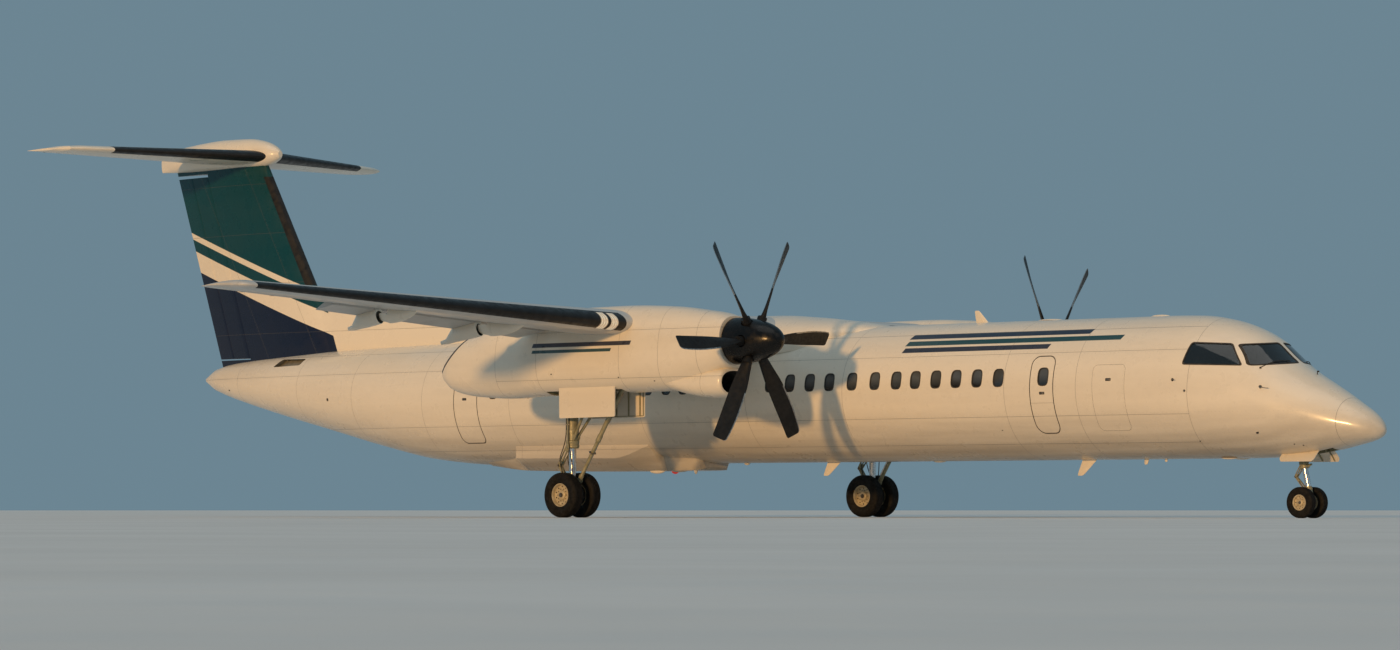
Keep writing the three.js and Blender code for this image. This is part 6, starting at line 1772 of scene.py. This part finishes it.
def build_fittings():
    plain = [blade(*row) for row in BLADE_ANTENNAS] + [dome(*row) for row in DOME_ANTENNAS]
    piece("antennas", joined(plain), [PLAIN_PAINT])
    dark, bright = (a + b for a, b in zip(flank_details(RIGHT), flank_details(LEFT)))
    dark.append(rod((15.0, 0, 2.5), (15.005, 0, 2.6), 0.008, n=12))
    dark.append(rod((15.0, 0, 2.6), (15.04, 0, 2.6), 0.014, n=14, round_ends=0.004))
    piece("probes", joined(bright), [STEEL], angle=50)
    piece("ports_and_wipers", joined(dark), [HOSE], angle=50)
    lamps = [dome(-0.6, 0, 0.925, 0.18, 0.12, 0.06, -1), dome(-6.2, 0, 3.655, 0.18, 0.12, 0.06)]
    piece("beacon_lenses", joined(lamps), [RED_LENS])
    tail = [(0, 0), (0, 0.05), (0.03, 0.046), (0.05, 0.03), (0.058, 0)]
    piece("tail_lamp", turned_profile(tail, (-14.835, 0, 3.025), (-1, 0, 0), 24), [CLEAR_LENS])
    lenses = joined(edge_patch(y0, y1, 0.06, 0.0025, -0.004) for y0, y1 in ((5.27, 5.44), (5.53, 5.7)))
    strips = joined(edge_patch(y0, y1, 0.066, 0.0032, -0.004)
                    for y0, y1 in ((5.252, 5.27), (5.44, 5.453), (5.517, 5.53), (5.7, 5.718)))
    for name, side in SIDES:
        piece(f"landing_lamps_{name}", lenses.mirrored(side), [WARM_LAMP], angle=60)
        piece(f"landing_lamp_frames_{name}", strips.mirrored(side), [STEEL], angle=60)


def edge_patch(y0, y1, share, out, depth):
    """A strip round the leading edge of the wing, between two offsets from its skin."""
    shares = [share * (1 - i / 7) ** 2 for i in range(8)]
    rings = []
    for y in (y0, y1):
        s = wing_station(y)
        middle = foil_point(s, share, 0)
        loops = []
        for grow in (out, depth):
            line = [foil_point(s, f, foil_half(s["thick"], f) + grow / s["chord"]) for f in shares]
            line += [foil_point(s, f, -foil_half(s["thick"], f) - grow / s["chord"]) for f in shares[-2::-1]]
            reach = abs(line[0].z - middle.z) + 1e-6
            loops.append([p + Vector((grow * (1 - abs(p.z - middle.z) / reach), 0, 0)) for p in line])
        rings.append(loops[0] + loops[1][::-1])
    return loft(rings)


def build_wicks():
    """Thin static discharge rods behind the trailing edges."""
    for name, side in SIDES:
        for body, places, ys in ((f"aileron_{name}", wing_station, (11.4, 12.2, 13.0, 13.5)),
                                 (f"elevator_{name}", tail_station, (2.6, 3.2, 3.7, 4.1))):
            edge = [foil_point(places(y), 1.0, 0) for y in ys]
            wicks = joined(rod(p + Vector((0.02, 0, 0)), p + Vector((-0.13, 0, 0.004)), 0.0045, 0.0025, 8)
                           for p in edge)
            piece(f"{body}_wicks", wicks.mirrored(side), [HOSE], body)


def finish_shown_nodes():
    """The engines keep their solids, in heat-stained metal."""
    for name, _ in SIDES:
        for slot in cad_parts[f"engine_{name}"].material_slots:
            slot.material = STEEL


# Stage, light and camera

# Suns. Columns: name, azimuth and elevation, strength, colour, angular size.
LIGHTS = [
    ("key", 16, 8, 2.05, (1.0, 0.56, 0.2), 2.5), ("fill", 100, 40, 0.2, (1.0, 0.85, 0.68), 40),
    ("top", 20, 78, 0.45, (1.0, 0.94, 0.86), 50),
]
FLOOR_RADIUS = 900.0


def build_stage():
    s = Shader("floor_pale", 0.7)
    s.color(s.mix(s.noise(0.3, 4), (0.68, 0.67, 0.65), (0.74, 0.73, 0.71)))
    s.rough(1.5, 0.6, 0.8, 4)
    mesh = bpy.data.meshes.new("floor")
    rim = [(FLOOR_RADIUS * math.cos(t), FLOOR_RADIUS * math.sin(t), 0.0) for t in angles(96)]
    mesh.from_pydata(rim, [], [list(range(len(rim)))])
    floor = bpy.data.objects.new("floor", mesh)
    floor.data.materials.append(s.material)
    bpy.context.scene.collection.objects.link(floor)
    floor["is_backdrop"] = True
    world = bpy.data.worlds.new("studio")
    world.use_nodes = True
    background = world.node_tree.nodes["Background"]
    background.inputs["Color"].default_value = (0.15, 0.235, 0.29, 1)
    background.inputs["Strength"].default_value = 1.0
    bpy.context.scene.world = world
    bpy.context.scene.view_settings.view_transform = "Standard"
    for name, azimuth, elevation, strength, colour, size in LIGHTS:
        data = bpy.data.lights.new(name, "SUN")
        data.energy, data.color, data.angle = strength, colour, math.radians(size)
        light = bpy.data.objects.new(name, data)
        a, e = math.radians(azimuth), math.radians(elevation)
        back = Vector((math.sin(a) * math.cos(e), -math.cos(a) * math.cos(e), math.sin(e)))
        light.rotation_mode = "QUATERNION"
        light.rotation_quaternion = back.to_track_quat("Z", "Y")
        bpy.context.scene.collection.objects.link(light)


# Columns: azimuth and distance in metres, height, yaw and pitch, focal length in pixels of a frame FRAME_WIDTH wide.
CAMERA = (42.88, 90.0, 0.15, 42.845, 2.349, 4503)
FRAME_WIDTH, SENSOR_WIDTH = 1400, 36.0


def build_camera():
    azimuth, distance, height, yaw, pitch, pixels = CAMERA
    data = bpy.data.cameras.new("camera")
    data.sensor_width = SENSOR_WIDTH
    data.lens = pixels / FRAME_WIDTH * SENSOR_WIDTH
    data.clip_start, data.clip_end = 0.5, 3000
    camera = bpy.data.objects.new("camera", data)
    a = math.radians(azimuth)
    camera.location = (math.sin(a) * distance, -math.cos(a) * distance, height)
    camera.rotation_euler = (math.radians(90 + pitch), 0, math.radians(yaw))
    bpy.context.scene.collection.objects.link(camera)
    bpy.context.scene.camera = camera


build_fuselage()
build_windows()
build_windshield()
build_wing()
build_nacelles()
build_propellers()
build_fin()
build_tailplane()
build_fairings()
build_wheels()
build_main_gear()
build_nose_strut()
build_nose_fork()
build_nose_doors()
build_airstair()
build_flight_deck()
build_fittings()
build_wicks()
finish_shown_nodes()
build_stage()
build_camera()

[[list(map(float, corner)) for corner in pair] for pair in (cad_box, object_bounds())]
